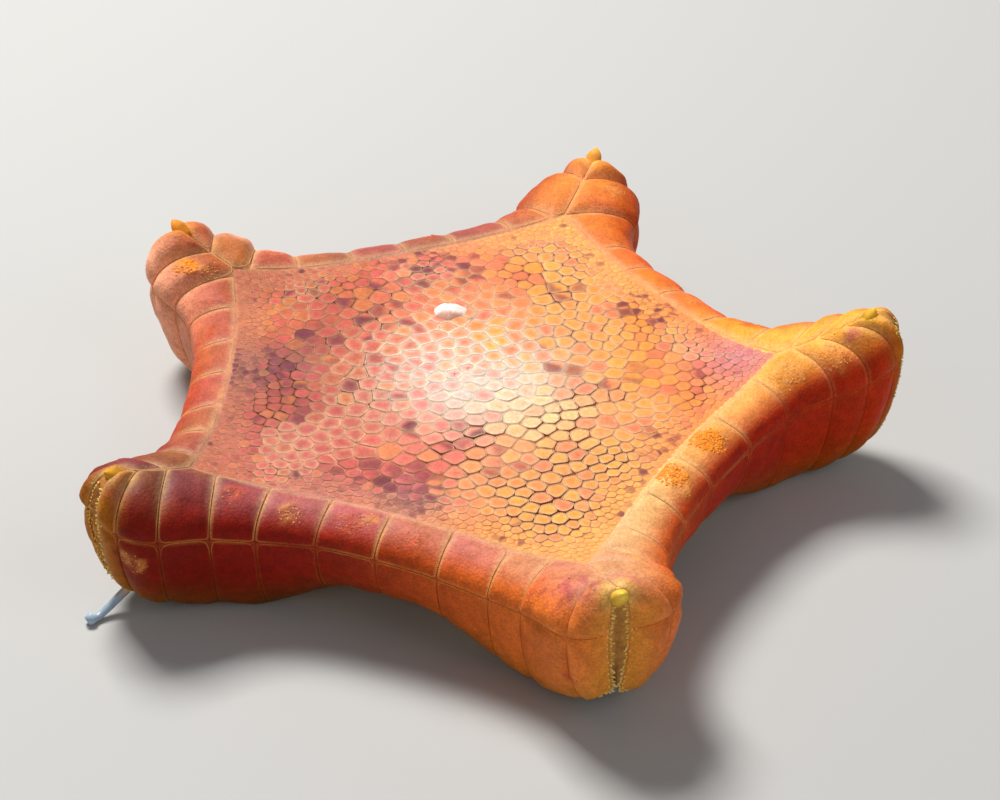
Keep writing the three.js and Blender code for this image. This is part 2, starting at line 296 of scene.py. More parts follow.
def sole_height(p):
    """Height of the under side: soles on the floor, arches between them, a rise at the mouth."""
    along = np.stack([p @ arm.along for arm in ARMS], -1)
    nearest = along.argmax(-1)
    z = np.zeros(p.shape[:-1])
    for k, arm in enumerate(ARMS):
        distance = along[..., k]
        sideways = np.abs(p @ arm.across)
        arch = ARCH_HEIGHT * smooth(sideways, arm.foot, arm.foot + ARCH_RUN)
        mouth = MOUTH_RISE * (1 - smooth(distance, *MOUTH_RUN))
        start = arm.heel * arm.apex
        turn = np.clip((distance - start) / (arm.tip + arm.over - start), 0, 1)
        tip = (TOP_HEIGHT + arm.lift) * SOLE_SHARE * (1 - np.sqrt(1 - turn * turn))
        z = np.where(nearest == k, np.maximum(0, arch + mouth + tip - FLAT_TRIM), z)
    return z


def slope(height, p, step=0.2):
    """The upward normal of a height function."""
    dx = height(p + [step, 0]) - height(p - [step, 0])
    dy = height(p + [0, step]) - height(p - [0, step])
    return unit(np.stack([-dx, -dy, np.full_like(dx, 2 * step)], -1))


# ---- the rim's surface -----------------------------------------------------------------


def rim_lines(arm_a, arm_b, plate):
    """Inner and outer ends of the lines across one side's rim, and how near the tip each is."""
    inner = np.zeros((len(plate), 2))
    outer = np.zeros((len(plate), 2))
    tipness = np.zeros(len(plate))
    chord = (arm_b.at(arm_b.apex) - arm_a.at(arm_a.apex)) / 2
    middle = (arm_b.at(arm_b.apex) + arm_a.at(arm_a.apex)) / 2
    outward = unit(np.array([chord[1], -chord[0]]))
    for arm, side, wide, mine in (
        (arm_a, 1, arm_a.wide_ccw, plate < PLATES / 2),
        (arm_b, -1, arm_b.wide_cw, plate >= PLATES / 2),
    ):
        from_tip = np.where(side > 0, plate, PLATES - plate)
        turned = arm.at(math.cos(APEX_TURN), side * math.sin(APEX_TURN))
        # past the apex the two rims of the arm meet on its middle line
        ends = mine & (from_tip < PAST_APEX - 1e-9)
        near = np.clip(1 - from_tip / PAST_APEX, 0, 1)
        corner = arm.apex + wide * math.cos(APEX_TURN)
        half = wide * math.sin(APEX_TURN) - FURROW_GAP_AT_TIP
        distance = corner + (arm.tip + arm.over - corner) * np.sin(near * QUARTER)
        sideways = FURROW_GAP_AT_TIP + half * np.cos(near * QUARTER) ** arm.blunt
        inner[ends] = arm.at(arm.apex + arm.reach * near)[ends]
        outer[ends] = arm.at(distance, side * sideways)[ends]
        tipness[ends] = near[ends]
        # between the arms the rim follows the sagging side
        t = 2 * (plate - PAST_APEX) / (PLATES - 2 * PAST_APEX) - 1
        t = t * (1 + PLATE_NARROWING * (1 - t * t))
        sag = SIDE_SAG * (1 - t * t)
        base = middle + chord * t[:, None] - outward * sag[:, None]
        to_apex = np.clip(np.abs(t), 0, 1) ** 3
        direction = unit(mix(outward, turned, to_apex))
        width = RIM_WIDTH + (wide - RIM_WIDTH) * to_apex
        rest = mine & ~ends
        inner[rest] = base[rest]
        outer[rest] = (base + direction * width[:, None])[rest]
    return inner, outer, tipness


def rim_surface(inner, outer, tipness, w):
    """w = 0 at the inner end of a line, 0.5 at the seam, 1 at the under edge."""
    upper = np.minimum(1, 2 * w) * QUARTER
    lower = np.maximum(0, 2 * w - 1) * QUARTER
    out = np.sin(upper) - UNDERCUT * (1 - np.cos(lower))
    seam = SEAM_SHARE - SEAM_DROP_AT_TIP * tipness[:, None]
    share = np.where(w <= 0.5, seam + (1 - seam) * np.cos(upper), seam * (1 - np.sin(lower)))
    plan = inner[:, None] + (outer - inner)[:, None] * out[None, :, None]
    low = sole_height(plan)
    return lifted(plan, low + share * (top_height(plan) - low))


def round_top(x):
    """A half circle over each step from one whole number to the next, 1 high."""
    return np.sqrt(np.maximum(0, 4 * (x % 1) * (1 - x % 1)))


def crowded(cells, share):
    """Steps from 0 to 1 that crowd towards both ends."""
    even = np.arange(cells + 1) / cells
    return (1 - share) * even + share * (0.5 - 0.5 * np.cos(math.pi * even))


def seam_distance(grid, breaks, axis):
    """Along one axis of a grid: how far each point is from the nearest seam, and from the start."""
    grid = np.moveaxis(grid, axis, 0)
    steps = np.linalg.norm(np.diff(grid, axis=0), axis=-1)
    run = np.concatenate([np.zeros((1,) + steps.shape[1:]), np.cumsum(steps, 0)])
    nearest = np.zeros_like(run)
    for low, high in zip(breaks[:-1], breaks[1:]):
        part = run[low:high + 1]
        nearest[low:high + 1] = np.minimum(part - part[0], part[-1] - part)
    return np.moveaxis(nearest, 0, axis), np.moveaxis(run, 0, axis)


# Where the rim's rows lie, from its upper edge to its hem
RIM_W = np.concatenate([crowded(HALF_ROWS, 0.7)[:-1] / 2, 0.5 + crowded(HALF_ROWS, 0.7) / 2])
LOWER_ROW = RIM_W > 0.5


def columns_between(knots):
    """Places of the grid's columns, which crowd towards each knot."""
    steps = []
    for low, high in zip(knots[:-1], knots[1:]):
        cells = int(np.clip(round(PLATE_COLUMNS * (high - low)), 7, PLATE_COLUMNS))
        steps.append(low + (high - low) * crowded(cells, 0.75)[:-1])
    return np.concatenate(steps)


def tip_columns(k):
    """Columns of an arm's rim from its tip to its apex, the same on both sides."""
    return np.append(columns_between((0.0,) + TIP_SEAMS[k] + (PAST_APEX,)), PAST_APEX)


# Rough patches on the plates: side, place along it, place across it, radius in mm, bumps, tone
ROUGH_PATCHES = (
    (4, 6.72, 0.12, 3.2, 320, GOLD), (4, 5.6, 0.09, 2.9, 190, GOLD), (4, 5.4, 0.2, 2.2, 40, HONEY),
    (4, 9.4, 0.16, 4.0, 90, HONEY), (4, 10.4, 0.20, 3.4, 80, HONEY), (4, 2.8, 0.18, 2.2, 20, HONEY),
    (2, 1.95, 0.20, 2.2, 60, GOLD), (2, 2.4, 0.12, 1.8, 30, HONEY), (2, 4.6, 0.14, 2.2, 24, BRICK),
    (3, 4.5, 0.20, 2.6, 60, HONEY), (3, 5.5, 0.20, 2.8, 70, BRICK), (3, 5.75, 0.12, 1.6, 20, HONEY),
    (3, 6.5, 0.22, 2.2, 34, BRICK), (3, 3.4, 0.14, 2.2, 24, BRICK), (3, 9.3, 0.30, 2.2, 24, BRICK),
    (3, 10.9, 0.72, 1.8, 20, BRICK), (3, 1.0, 0.6, 2.4, 26, HONEY), (0, 3.9, 0.24, 2.4, 20, BRICK),
    (1, 3.2, 0.16, 2.0, 30, BRICK), (1, 8.6, 0.16, 2.0, 30, BRICK), (0, 10.4, 0.20, 2.4, 34, HONEY),
    (1, 5.4, 0.18, 2.2, 20, BRICK), (0, 5.4, 0.20, 2.2, 26, HONEY), (3, 10.35, 0.22, 3.6, 16, ROSE),
    (3, 11.2, 0.20, 2.6, 12, ROSE), (4, 11.1, 0.14, 2.8, 10, ROSE),
)
# Places where granules close over the seams of the rim: x, y, radius, how far
OVERGROWN = ((64, 2, 20, 0.8), (-50, 12, 14, 0.6), (27, -60, 9, 0.6), (44, -34, 12, 0.4),
             (8, 58, 18, 0.5), (-56, 42, 12, 0.6), (24, 72, 8, 0.4), (24, -70, 8, 0.4))


def seam_show(points):
    """How clearly a seam shows on the rim, 0 to 1."""
    shown = 1 - 0.6 * smooth(noise(points, 9, 15), -0.2, 0.5)
    shown = shown * (1 - 0.45 * smooth(noise(points, 2.6, 16), -0.1, 0.6))
    for x, y, radius, share in OVERGROWN:
        shown = shown * (1 - share * bell(from_spot(points, x, y), 0, radius))
    return shown


class Rim:
    """The rim of the side between two arms, as a grid from tip to tip.

    u counts plates from the first arm's tip, and w runs from the upper edge to the hem.
    """

    def __init__(self, index):
        self.index, self.other = index, (index + 1) % len(ARMS)
        self.lay_columns()
        inner, outer, self.tipness = rim_lines(ARMS[index], ARMS[self.other], self.u)
        base = self.eased(rim_surface(inner, outer, self.tipness, RIM_W))
        self.normal = unit(np.cross(np.gradient(base, axis=1), np.gradient(base, axis=0)))
        self.measure_edges(base)
        relief = self.plate_relief(base)
        self.roughen(base, relief)
        relief[:, [0, -1]] = 0
        relief[[0, -1]] *= 0.3
        self.points = base + self.normal * relief[..., None]

    def lay_columns(self):
        """Places of the columns, up to the first apex, along the side and on to the second tip."""
        first, last = tip_columns(self.index), PLATES - tip_columns(self.other)[::-1]
        side_seams = SIDE_SEAMS[self.index]
        side = columns_between((PAST_APEX,) + side_seams + (PLATES - PAST_APEX,))
        self.u = np.concatenate([first[:-1], side, last])
        self.start, self.stop = len(first) - 1, len(self.u) - len(last)
        last_seams = tuple(PLATES - u for u in TIP_SEAMS[self.other][::-1])
        seams = (0.0,) + TIP_SEAMS[self.index] + side_seams + last_seams + (PLATES,)
        self.seams = np.array(seams)
        plate = np.searchsorted(self.seams, self.u, "right") - 1
        self.plate = np.clip(plate, 0, len(self.seams) - 2)
        # a number for each plate of the animal, to tell them apart
        self.number = self.plate + 40 * self.index
        # each plate leans to pink (above 0) or to amber
        self.lean = np.sin(78.233 * self.number[:, None] + 3.7 * LOWER_ROW[None])

    def measure_edges(self, base):
        """How far each point is from the border of its plate, and along both of the grid's axes."""
        breaks = [int(np.argmin(np.abs(self.u - seam))) for seam in self.seams]
        to_u, self.run_u = seam_distance(base, breaks, 0)
        to_w, self.run_w = seam_distance(base, [0, HALF_ROWS, 2 * HALF_ROWS], 1)
        near = np.minimum(to_u, to_w)
        cut = CORNER - np.hypot(np.maximum(0, CORNER - to_u), np.maximum(0, CORNER - to_w))
        self.edge = np.maximum(0, np.where(near < CORNER, cut, near))

    def plate_relief(self, base):
        """Height of the plates over the smooth rim: pillows with welts and grooves at the seams."""
        width = np.diff(self.seams)
        share = (self.u - self.seams[self.plate]) / width[self.plate]
        middle = (self.seams[:-1] + width / 2)[self.plate]
        near_tip = smooth(middle, KNUCKLE_RUN, 0.5)
        near_other = smooth(PLATES - middle, KNUCKLE_RUN, 0.5)
        knuckle = KNUCKLES[self.index] * near_tip + KNUCKLES[self.other] * near_other
        vary = 1 + 0.2 * np.sin(12.9898 * self.number)
        flatter = np.where(LOWER_ROW, 0.6, 1.0)
        show = seam_show(base)
        high = (SWELL * vary + knuckle)[:, None] * flatter[None] * (0.55 + 0.45 * show)
        pillow = 1 - (1 - np.clip(self.edge / SWELL_EDGE, 0, 1)) ** 2
        dome = round_top(np.clip(share, 0, 1))[:, None] * round_top(2 * RIM_W)[None]
        relief = high * (0.5 * pillow + 0.5 * dome * pillow ** 0.3)
        relief += show * LIP * bell(self.edge, LIP_AT, LIP_SPREAD)
        relief -= show * GROOVE * bell(self.edge, 0, GROOVE_SPREAD)
        calm = smooth(self.edge, 0.2, 2.0)
        relief += calm * (0.16 * noise(base, 3.1, 5) + 0.05 * noise(base, 1.1, 6))
        return relief

    def roughen(self, base, relief):
        """Raises the rough patches of this side, and keeps where they stain the rim."""
        self.stains = []
        for u, w, radius, _, tone in self.patches():
            apart = np.linalg.norm(base - self.sample(base, u, w), axis=-1) / radius
            stain = smooth(apart + 0.5 * noise(base, 1.4, 13), 1.05, 0.35)
            relief += stain * (0.10 + 0.22 * noise(base, 0.9, 14))
            self.stains.append((stain, tone))

    def patches(self):
        """This side's rough patches."""
        return [patch[1:] for patch in ROUGH_PATCHES if patch[0] == self.index]

    def eased(self, base):
        """Rounds off the fold where the side's lines meet the arm's, past the inner edge."""
        weight = np.exp(-0.5 * ((self.u[:, None] - self.u[None]) / 0.42) ** 2)
        weight *= np.gradient(self.u)[None]
        weight /= weight.sum(1, keepdims=True)
        soft = np.einsum("ij,jkl->ikl", weight, base)
        from_tip = np.minimum(self.u, PLATES - self.u)
        share = bell(from_tip, PAST_APEX, 1.1)[:, None] * smooth(RIM_W, 0.0, 0.16)[None]
        return mix(base, soft, share)

    def sample(self, grid, u, w):
        """A value of the grid between its points."""
        column = np.interp(u, self.u, np.arange(len(self.u)))
        row = np.interp(w, RIM_W, np.arange(len(RIM_W)))
        i = np.minimum(column.astype(int), len(self.u) - 2)
        j = np.minimum(row.astype(int), len(RIM_W) - 2)
        a, b = column - i, row - j
        if grid.ndim == 3:
            a, b = a[..., None], b[..., None]
        first = grid[i, j] * (1 - b) + grid[i, j + 1] * b
        second = grid[i + 1, j] * (1 - b) + grid[i + 1, j + 1] * b
        return first * (1 - a) + second * a

    def run(self, u, w):
        """Millimetres along the rim and across it, for the unwrap."""
        along = self.sample(self.run_u, u, np.full(len(u), 0.5))
        return np.stack([along, self.sample(self.run_w, u, w)], -1)


RIMS = [Rim(index) for index in range(len(ARMS))]

# ---- colours over the body -------------------------------------------------------------

# Where each tone of the rim is strongest: x, y, then the tone of its upper edge, its flank
# and its hem. The flank tones are partly the rim's own deep red and partly painted shade, the
# tones on the left side are darker partly as painted shade, and some upper edges carry painted
# highlights
RIM_TONES_WITH_PAINTED_LIGHT = (
    (68, 3, rgb(255, 182, 58), rgb(198, 50, 4), rgb(172, 104, 6)),
    (38, 38, rgb(244, 124, 46), rgb(232, 90, 26), rgb(208, 116, 36)),
    (23, 69, rgb(238, 138, 60), rgb(176, 70, 20), rgb(180, 110, 34)),
    (-8, 46, rgb(148, 80, 78), rgb(186, 78, 54), rgb(184, 96, 46)),
    (-53, 38, rgb(170, 86, 50), rgb(255, 180, 142), rgb(222, 146, 84)),
    (-48, 3, rgb(184, 92, 72), rgb(196, 72, 34), rgb(184, 98, 36)),
    (-56, -37, rgb(104, 52, 52), rgb(128, 20, 2), rgb(146, 92, 4)),
    (-22, -46, rgb(184, 96, 96), rgb(150, 18, 6), rgb(104, 50, 6)),
    (5, -58, rgb(206, 110, 88), rgb(234, 104, 30), rgb(190, 104, 24)),
    (22, -67, rgb(172, 88, 100), rgb(244, 146, 64), rgb(240, 168, 66)),
    (30, -49, rgb(255, 210, 134), rgb(216, 76, 22), rgb(190, 94, 20)),
    (48, -25, rgb(255, 172, 94), rgb(176, 28, 4), rgb(176, 80, 8)),
)
TONE_SPREAD = 14.0
# The tone of each arm's end wall
END_TONES = (rgb(192, 136, 12), rgb(246, 150, 60), rgb(244, 176, 124), rgb(192, 118, 18),
             rgb(232, 148, 54))
# and of its tip plate, which also stains the plates around it
TIP_TONES = (rgb(232, 176, 50), rgb(250, 168, 66), rgb(236, 146, 44), rgb(210, 146, 36),
             rgb(244, 196, 74))


def tip_place(k):
    """Where an arm's tip plate is rooted."""
    end = ARMS[k].at(ARMS[k].tip)
    return lifted(end, top_height(end) - TIP_DROPS[k])


def rim_tone_with_painted_light(points, w):
    """The tone of the rim, from its upper edge (w = 0) to its hem (w = 1): darker down the flank
    partly as painted shade, with painted highlights on some upper edges.
    """
    total = 1e-6
    tones = np.zeros(points.shape[:-1] + (3, 3))
    for x, y, upper, flank, hem in RIM_TONES_WITH_PAINTED_LIGHT:
        weight = np.exp(-0.5 * (from_spot(points, x, y) / TONE_SPREAD) ** 2) + 1e-5
        tones += weight[..., None, None] * np.stack([upper, flank, hem])
        total = total + weight
    tones /= total[..., None, None]
    # painted shade and highlights: the flank tone is darker than the upper edge partly as painted
    # shade
    colour = mix(tones[..., 0, :], tones[..., 1, :], smooth(w, 0.07, 0.37))
    return mix(colour, tones[..., 2, :], smooth(w, 0.62, 0.98))


def seam_tone(w):
    """The welt along a seam, from its upper edge to its hem."""
    return mix(SEAM_LINE, SEAM_LOW, smooth(w, 0.3, 0.6))


def plate_colour(rim, w, cloud, fine):
    """The rim's tone with clouds of pink and amber on its upper row, and its rough patches."""
    colour = rim_tone_with_painted_light(rim.points, w)
    over = smooth(w, 0.4, 0.1)
    pinker = 0.22 * smooth(cloud, 0.0, 0.9) + 0.14 * smooth(rim.lean, 0.1, 1.0)
    warmer = 0.16 * smooth(-cloud, 0.0, 0.9) + 0.12 * smooth(-rim.lean, 0.1, 1.0)
    colour = mix(colour, PINK, over * pinker)
    colour = mix(colour, AMBER, over * warmer)
    colour = colour * (1 + 0.10 * fine + 0.05 * rim.lean)[..., None]
    uneven = smooth(noise(rim.points, 0.9, 14), -0.7, 0.5)
    for stain, tone in rim.stains:
        strength = 0.95 if tone is GOLD else 0.7
        colour = mix(colour, tone, strength * stain * uneven)
    return colour


def with_end_tones(colour, rim, w, cloud, fine):
    """The end wall of each arm in its own tone, stained round the tip plate."""
    end = smooth(rim.tipness[:, None] + 0.10 * cloud + 0.05 * fine, 0.58, 1.0)
    first_half = (rim.u < PLATES / 2)[:, None]
    last = np.where(first_half, END_TONES[rim.index], END_TONES[rim.other])[:, None]
    colour = mix(colour, last, 0.9 * end * smooth(w, 0.05, 0.4))
    for k in (rim.index, rim.other):
        apart = np.linalg.norm(rim.points - tip_place(k), axis=-1) + 0.6 * fine
        colour = mix(colour, TIP_TONES[k], 0.6 * smooth(apart, 4.2, 1.6))
    return colour


def with_seams(colour, rim, w):
    """Pale welts along the seams, and dark lines in them."""
    colour = mix(colour, CREAM, 0.18 * smooth(rim.edge, 1.6, 0.4) * smooth(w, 0.4, 0.1))
    show = seam_show(rim.points)
    seen = (0.2 + 0.8 * smooth(w, 0.56, 0.45)) * show
    colour = mix(colour, seam_tone(w), 0.5 * seen * bell(rim.edge, LIP_AT, 0.13))
    between = smooth(w, 0.0, 0.03) * smooth(w, 1.0, 0.97) * show
    return mix(colour, SEAM_GAP, 0.5 * between * bell(rim.edge, 0, 0.07))


def rim_colour(rim):
    """The colour of every point of a rim."""
    w = np.broadcast_to(RIM_W, rim.edge.shape)
    cloud = noise(rim.points, 6.0, 11)
    fine = noise(rim.points, 1.6, 12)
    colour = plate_colour(rim, w, cloud, fine)
    colour = with_end_tones(colour, rim, w, cloud, fine)
    return with_seams(colour, rim, w)


# ---- the skin --------------------------------------------------------------------------


class Skin:
    """Corners of triangles, with a tint and a place on the unwrap for each."""

    def __init__(self):
        self.corners, self.tints, self.places = [], [], []

    def sheet(self, points, tints, places):
        """A grid of points, seen from outside with its first index growing to the right."""
        tints = np.broadcast_to(tints, points.shape)
        for gathered, grid in (
            (self.corners, points), (self.tints, tints), (self.places, places),
        ):
            a, b = grid[:-1, :-1], grid[1:, :-1]
            c, d = grid[1:, 1:], grid[:-1, 1:]
            size = grid.shape[-1]
            gathered.append(np.stack([a, b, c, a, c, d], 2).reshape(-1, 3, size))

    def welded(self):
        """Points, faces, tints and places of one closed mesh, whose sheets share their borders."""
        corners = np.concatenate(self.corners)
        tints = np.concatenate(self.tints).reshape(-1, 3)
        places = np.concatenate(self.places)
        keys = np.round(corners.reshape(-1, 3) * 1e4).astype(np.int64)
        _, first, ids = np.unique(keys, axis=0, return_index=True, return_inverse=True)
        faces = ids.reshape(-1, 3)
        whole = ((faces[:, 0] != faces[:, 1]) & (faces[:, 1] != faces[:, 2])
                 & (faces[:, 2] != faces[:, 0]))
        return corners.reshape(-1, 3)[first], faces[whole], tints[first], places[whole]


# The unwrap, in mm: five rim strips, then the upper side and the under side in plan
STRIP_PITCH = 42.0
UPPER_AT = np.array([232.0, 60.0])
UNDER_AT = np.array([225.0, 165.0])
UNDER_SCALE = 0.62


def under_place(points):
    """Where the under side lies on the unwrap."""
    return points[..., :2] * UNDER_SCALE + UNDER_AT


def cracking(plan):
    """How far the cracks between the plates gape, 0 to 1."""
    reach = np.linalg.norm(plan, axis=-1)
    return smooth(noise(lifted(plan), 8, 22), -0.35, 0.35) * smooth(reach, 11, 20)


def hide_colour(points, parted):
    """The hide between the tiles of the upper side: their own tone, paler in the middle, and dark
    where the tiles part, partly its own deep red and partly painted shade.
    """
    reach = np.linalg.norm(points[..., :2], axis=-1)
    colour = mix(disc_tone(points[..., :2]), CREAM, 0.2 + 0.5 * smooth(reach, 26, 8))
    # painted shade in the cracks where the tiles part
    colour = mix(colour, CRACK_SHADE, 0.95 * parted)
    return colour * (1 + 0.12 * noise(points, 1.3, 21))[..., None]


def under_colour(points):
    """The sandy tone of the under side."""
    colour = mix(UNDER_TAN, UNDER_SAND, smooth(noise(points, 5, 31), -0.6, 0.6))
    return colour * (1 + 0.08 * noise(points, 1.2, 32))[..., None]


def fan(edge, target, height, steps):
    """Rows from an edge of the rim to one point of the plan."""
    plan = edge[:, None, :2] + (target - edge[:, None, :2]) * steps[None, :, None]
    points = lifted(plan, height(plan))
    points[:, 0] = edge
    return points


# The hide's first rows next to the rim: how far each has sunk, and how much of the rim's tone
# it keeps
SUNK = np.array([0, 0.15, 0.4, 0.75, 0.95])
TONE_KEPT = np.array([1, 1, 0.9, 0.6, 0.3])


def hide_fan(rim):
    """The hide of one sector, which leaves the rim's inner edge in a shallow step."""
    edge = rim.points[rim.start:rim.stop + 1, 0]
    points = fan(edge, np.zeros(2), top_height, FAN_STEPS)
    parted = cracking(points[..., :2]) * smooth(FAN_STEPS, 0.04, 0.14)
    drop = HIDE_DROP + CRACK_DROP * parted
    rows = len(SUNK)
    drop[:, :rows] *= SUNK
    points[..., 2] -= drop
    tint = hide_colour(points, parted)
    border = mix(rim_tone_with_painted_light(edge, np.zeros(len(edge)))[:, None], CREAM, 0.2)
    tint[:, :rows] = mix(tint[:, :rows], border, TONE_KEPT[None])
    return points, tint


def furrow_rows(k):
    """Both edges of an arm's furrow strip, from the mouth out and up the end wall."""
    right, left = RIMS[k - 1].points, RIMS[k].points
    apex_column = RIMS[k].start
    steps = np.arange(FAN_ROWS, 0, -1) / FAN_ROWS
    inner = []
    for edge, jaw in ((right[-1 - apex_column, -1], ARMS[k - 1].jaw),
                      (left[apex_column, -1], ARMS[k].jaw)):
        plan = edge[:2] + (jaw - edge[:2]) * steps[:, None]
        inner.append(lifted(plan, sole_height(plan)))
    along = np.arange(apex_column, 0, -1)
    sole = (right[-1 - along, -1], left[along, -1])
    wall = (right[-1, ::-1], left[0, ::-1])
    return [np.concatenate(parts) for parts in zip(inner, sole, wall)]


def furrow_frame(k):
    """Both edges of a furrow, with the way into the body, the depth and how open it is."""
    first, second = furrow_rows(k)
    ahead = np.gradient(first + second, axis=0)
    inward = unit(np.cross(ahead, lifted(ARMS[k].across)))
    width = np.linalg.norm(first - second, axis=-1)
    open_share = smooth(first[:, 2], 0.75 * TOP_HEIGHT, 0.3 * TOP_HEIGHT)
    below_top = first[-1, 2] - TIP_DROPS[k] - first[:, 2]
    depth = np.minimum(FURROW_DEPTH, FURROW_SHARE * width) * (0.25 + 0.75 * open_share)
    depth = depth * smooth(below_top, -0.5, 3.0)
    return first, second, inward, depth, open_share


def add_side(skin, rim, arm):
    """One sector: its rim, its hide above and its hide below."""
    along = np.broadcast_to(rim.run_u[:, HALF_ROWS:HALF_ROWS + 1], rim.run_w.shape)
    places = np.stack([along, rim.run_w + STRIP_PITCH * rim.index], -1)
    skin.sheet(rim.points[::-1], rim_colour(rim)[::-1], places[::-1])
    upper, tint = hide_fan(rim)
    skin.sheet(upper, tint, upper[..., :2] + UPPER_AT)
    hem = rim.points[rim.start:rim.stop + 1, -1]
    under = fan(hem, arm.jaw, sole_height, UNDER_STEPS)[::-1]
    under[2:-2, 2:-1, 2] += UNDER_DROP
    skin.sheet(under, under_colour(under), under_place(under))


def add_furrow(skin, k):
    """One furrow; the result is its end at the mouth."""
    share = np.arange(STRIP_CELLS + 1) / STRIP_CELLS
    hollow = np.sin(math.pi * share) ** 2
    first, second, inward, depth, open_share = furrow_frame(k)
    rows = first[:, None] + (second - first)[:, None] * share[None, :, None]
    rows = rows + inward[:, None] * depth[:, None, None] * hollow[None, :, None]
    closed = np.broadcast_to(1 - open_share[:, None], rows.shape[:2])
    tint = mix(under_colour(rows), mix(FURROW_SKIN, TIP_TONES[k], 0.3), 0.85 * closed)
    # painted shade: the furrow's floor is darker where it is deep
    deep = (0.35 + 0.55 * open_share) * smooth(depth, 0.1, 0.6)
    tint = mix(tint, FURROW_FLOOR_SHADE, deep[:, None] * hollow)
    skin.sheet(rows[::-1], tint[::-1], under_place(rows)[::-1])
    return rows[0, :-1]


def add_mouth(skin, ring):
    """The mouth, a dome that closes the ring of the furrows' ends."""
    turn = np.arange(MOUTH_CELLS + 1) / MOUTH_CELLS
    rings = ring[None] * (1 - turn)[:, None, None]
    rise = np.sin(turn * QUARTER)[:, None]
    rings[..., 2] = ring[None, :, 2] * (1 - rise) + (MOUTH_RISE + MOUTH_DEPTH) * rise
    # painted shade: the mouth darkens the deeper it goes
    tint = mix(MOUTH_LIP, MOUTH_FLOOR_SHADE, np.broadcast_to(rise, rings.shape[:2]))
    skin.sheet(rings, tint, under_place(rings))


def build_skin():
    """The whole skin, welded."""
    skin = Skin()
    for rim, arm in zip(RIMS, ARMS):
        add_side(skin, rim, arm)
    ends = [add_furrow(skin, k) for k in range(len(ARMS))]
    add_mouth(skin, np.concatenate(ends + [ends[0][:1]]))
    return skin.welded()


# ---- making meshes ---------------------------------------------------------------------

UNWRAP_MARGIN = 0.01


def add_object(name, data):
    """A new object in the scene."""
    made = bpy.data.objects.new(name, data)
    bpy.context.scene.collection.objects.link(made)
    return made


def make_piece(name, points, faces, tints, corner_places, surface, slot, replaced=()):
    """A visible piece from arrays: lengths in mm from the middle of the disc."""
    points = np.array(points, float)
    points[:, :2] += DISC_CENTRE
    points[:, 2] = np.maximum(0, points[:, 2])
    faces = np.ascontiguousarray(faces, np.int32)
    mesh = bpy.data.meshes.new(name)
    mesh.vertices.add(len(points))
    mesh.vertices.foreach_set("co", (points * MM).astype(np.float32).ravel())
    mesh.loops.add(faces.size)
    mesh.loops.foreach_set("vertex_index", faces.ravel())
    mesh.polygons.add(len(faces))
    mesh.polygons.foreach_set("loop_start", np.arange(0, faces.size, 3, dtype=np.int32))
    mesh.polygons.foreach_set("use_smooth", np.ones(len(faces), bool))
    mesh.update(calc_edges=True)
    colour = mesh.color_attributes.new("tint", "FLOAT_COLOR", "POINT")
    rgba = np.concatenate([np.clip(tints, 0, 1), np.ones((len(tints), 1))], 1)
    colour.data.foreach_set("color", rgba.astype(np.float32).ravel())
    places = corner_places.reshape(-1, 2)
    low = places.min(0)
    scale = (1 - 2 * UNWRAP_MARGIN) / (places - low).max()
    layer = mesh.uv_layers.new(name="OFBake")
    unwrap = UNWRAP_MARGIN + (places - low) * scale
    layer.data.foreach_set("uv", unwrap.astype(np.float32).ravel())
    mesh.validate()
    mesh.materials.append(surface)
    piece = add_object(name, mesh)
    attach(piece, "root")
    if replaced:
        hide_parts(*replaced)


class Gathered:
    """Many small solids that become one piece."""

    def __init__(self):
        self.points, self.faces, self.tints, self.places = [], [], [], []
        self.count = 0

    def add(self, points, faces, tints, places):
        """Like solids (..., n, 3), the faces (m, 3) of one, and tints and places per point."""
        size = points.shape[-2]
        points = points.reshape(-1, size, 3)
        starts = self.count + size * np.arange(len(points))
        self.points.append(points.reshape(-1, 3))
        self.faces.append((faces[None] + starts[:, None, None]).reshape(-1, 3))
        self.tints.append(np.broadcast_to(tints, points.shape).reshape(-1, 3))
        self.places.append(np.broadcast_to(places, points.shape[:-1] + (2,)).reshape(-1, 2))
        self.count += points.shape[0] * size

    def piece(self, name, surface, slot, replaced=()):
        """Makes the piece."""
        points, faces, tints, places = (
            np.concatenate(parts) for parts in (self.points, self.faces, self.tints, self.places)
        )
        make_piece(name, points, faces, tints, places[faces], surface, slot, replaced)


# ---- materials -------------------------------------------------------------------------


def set_inputs(node, values):
    """Sets constant values on a node's sockets."""
    for name, value in values.items():
        node.inputs[name].default_value = value


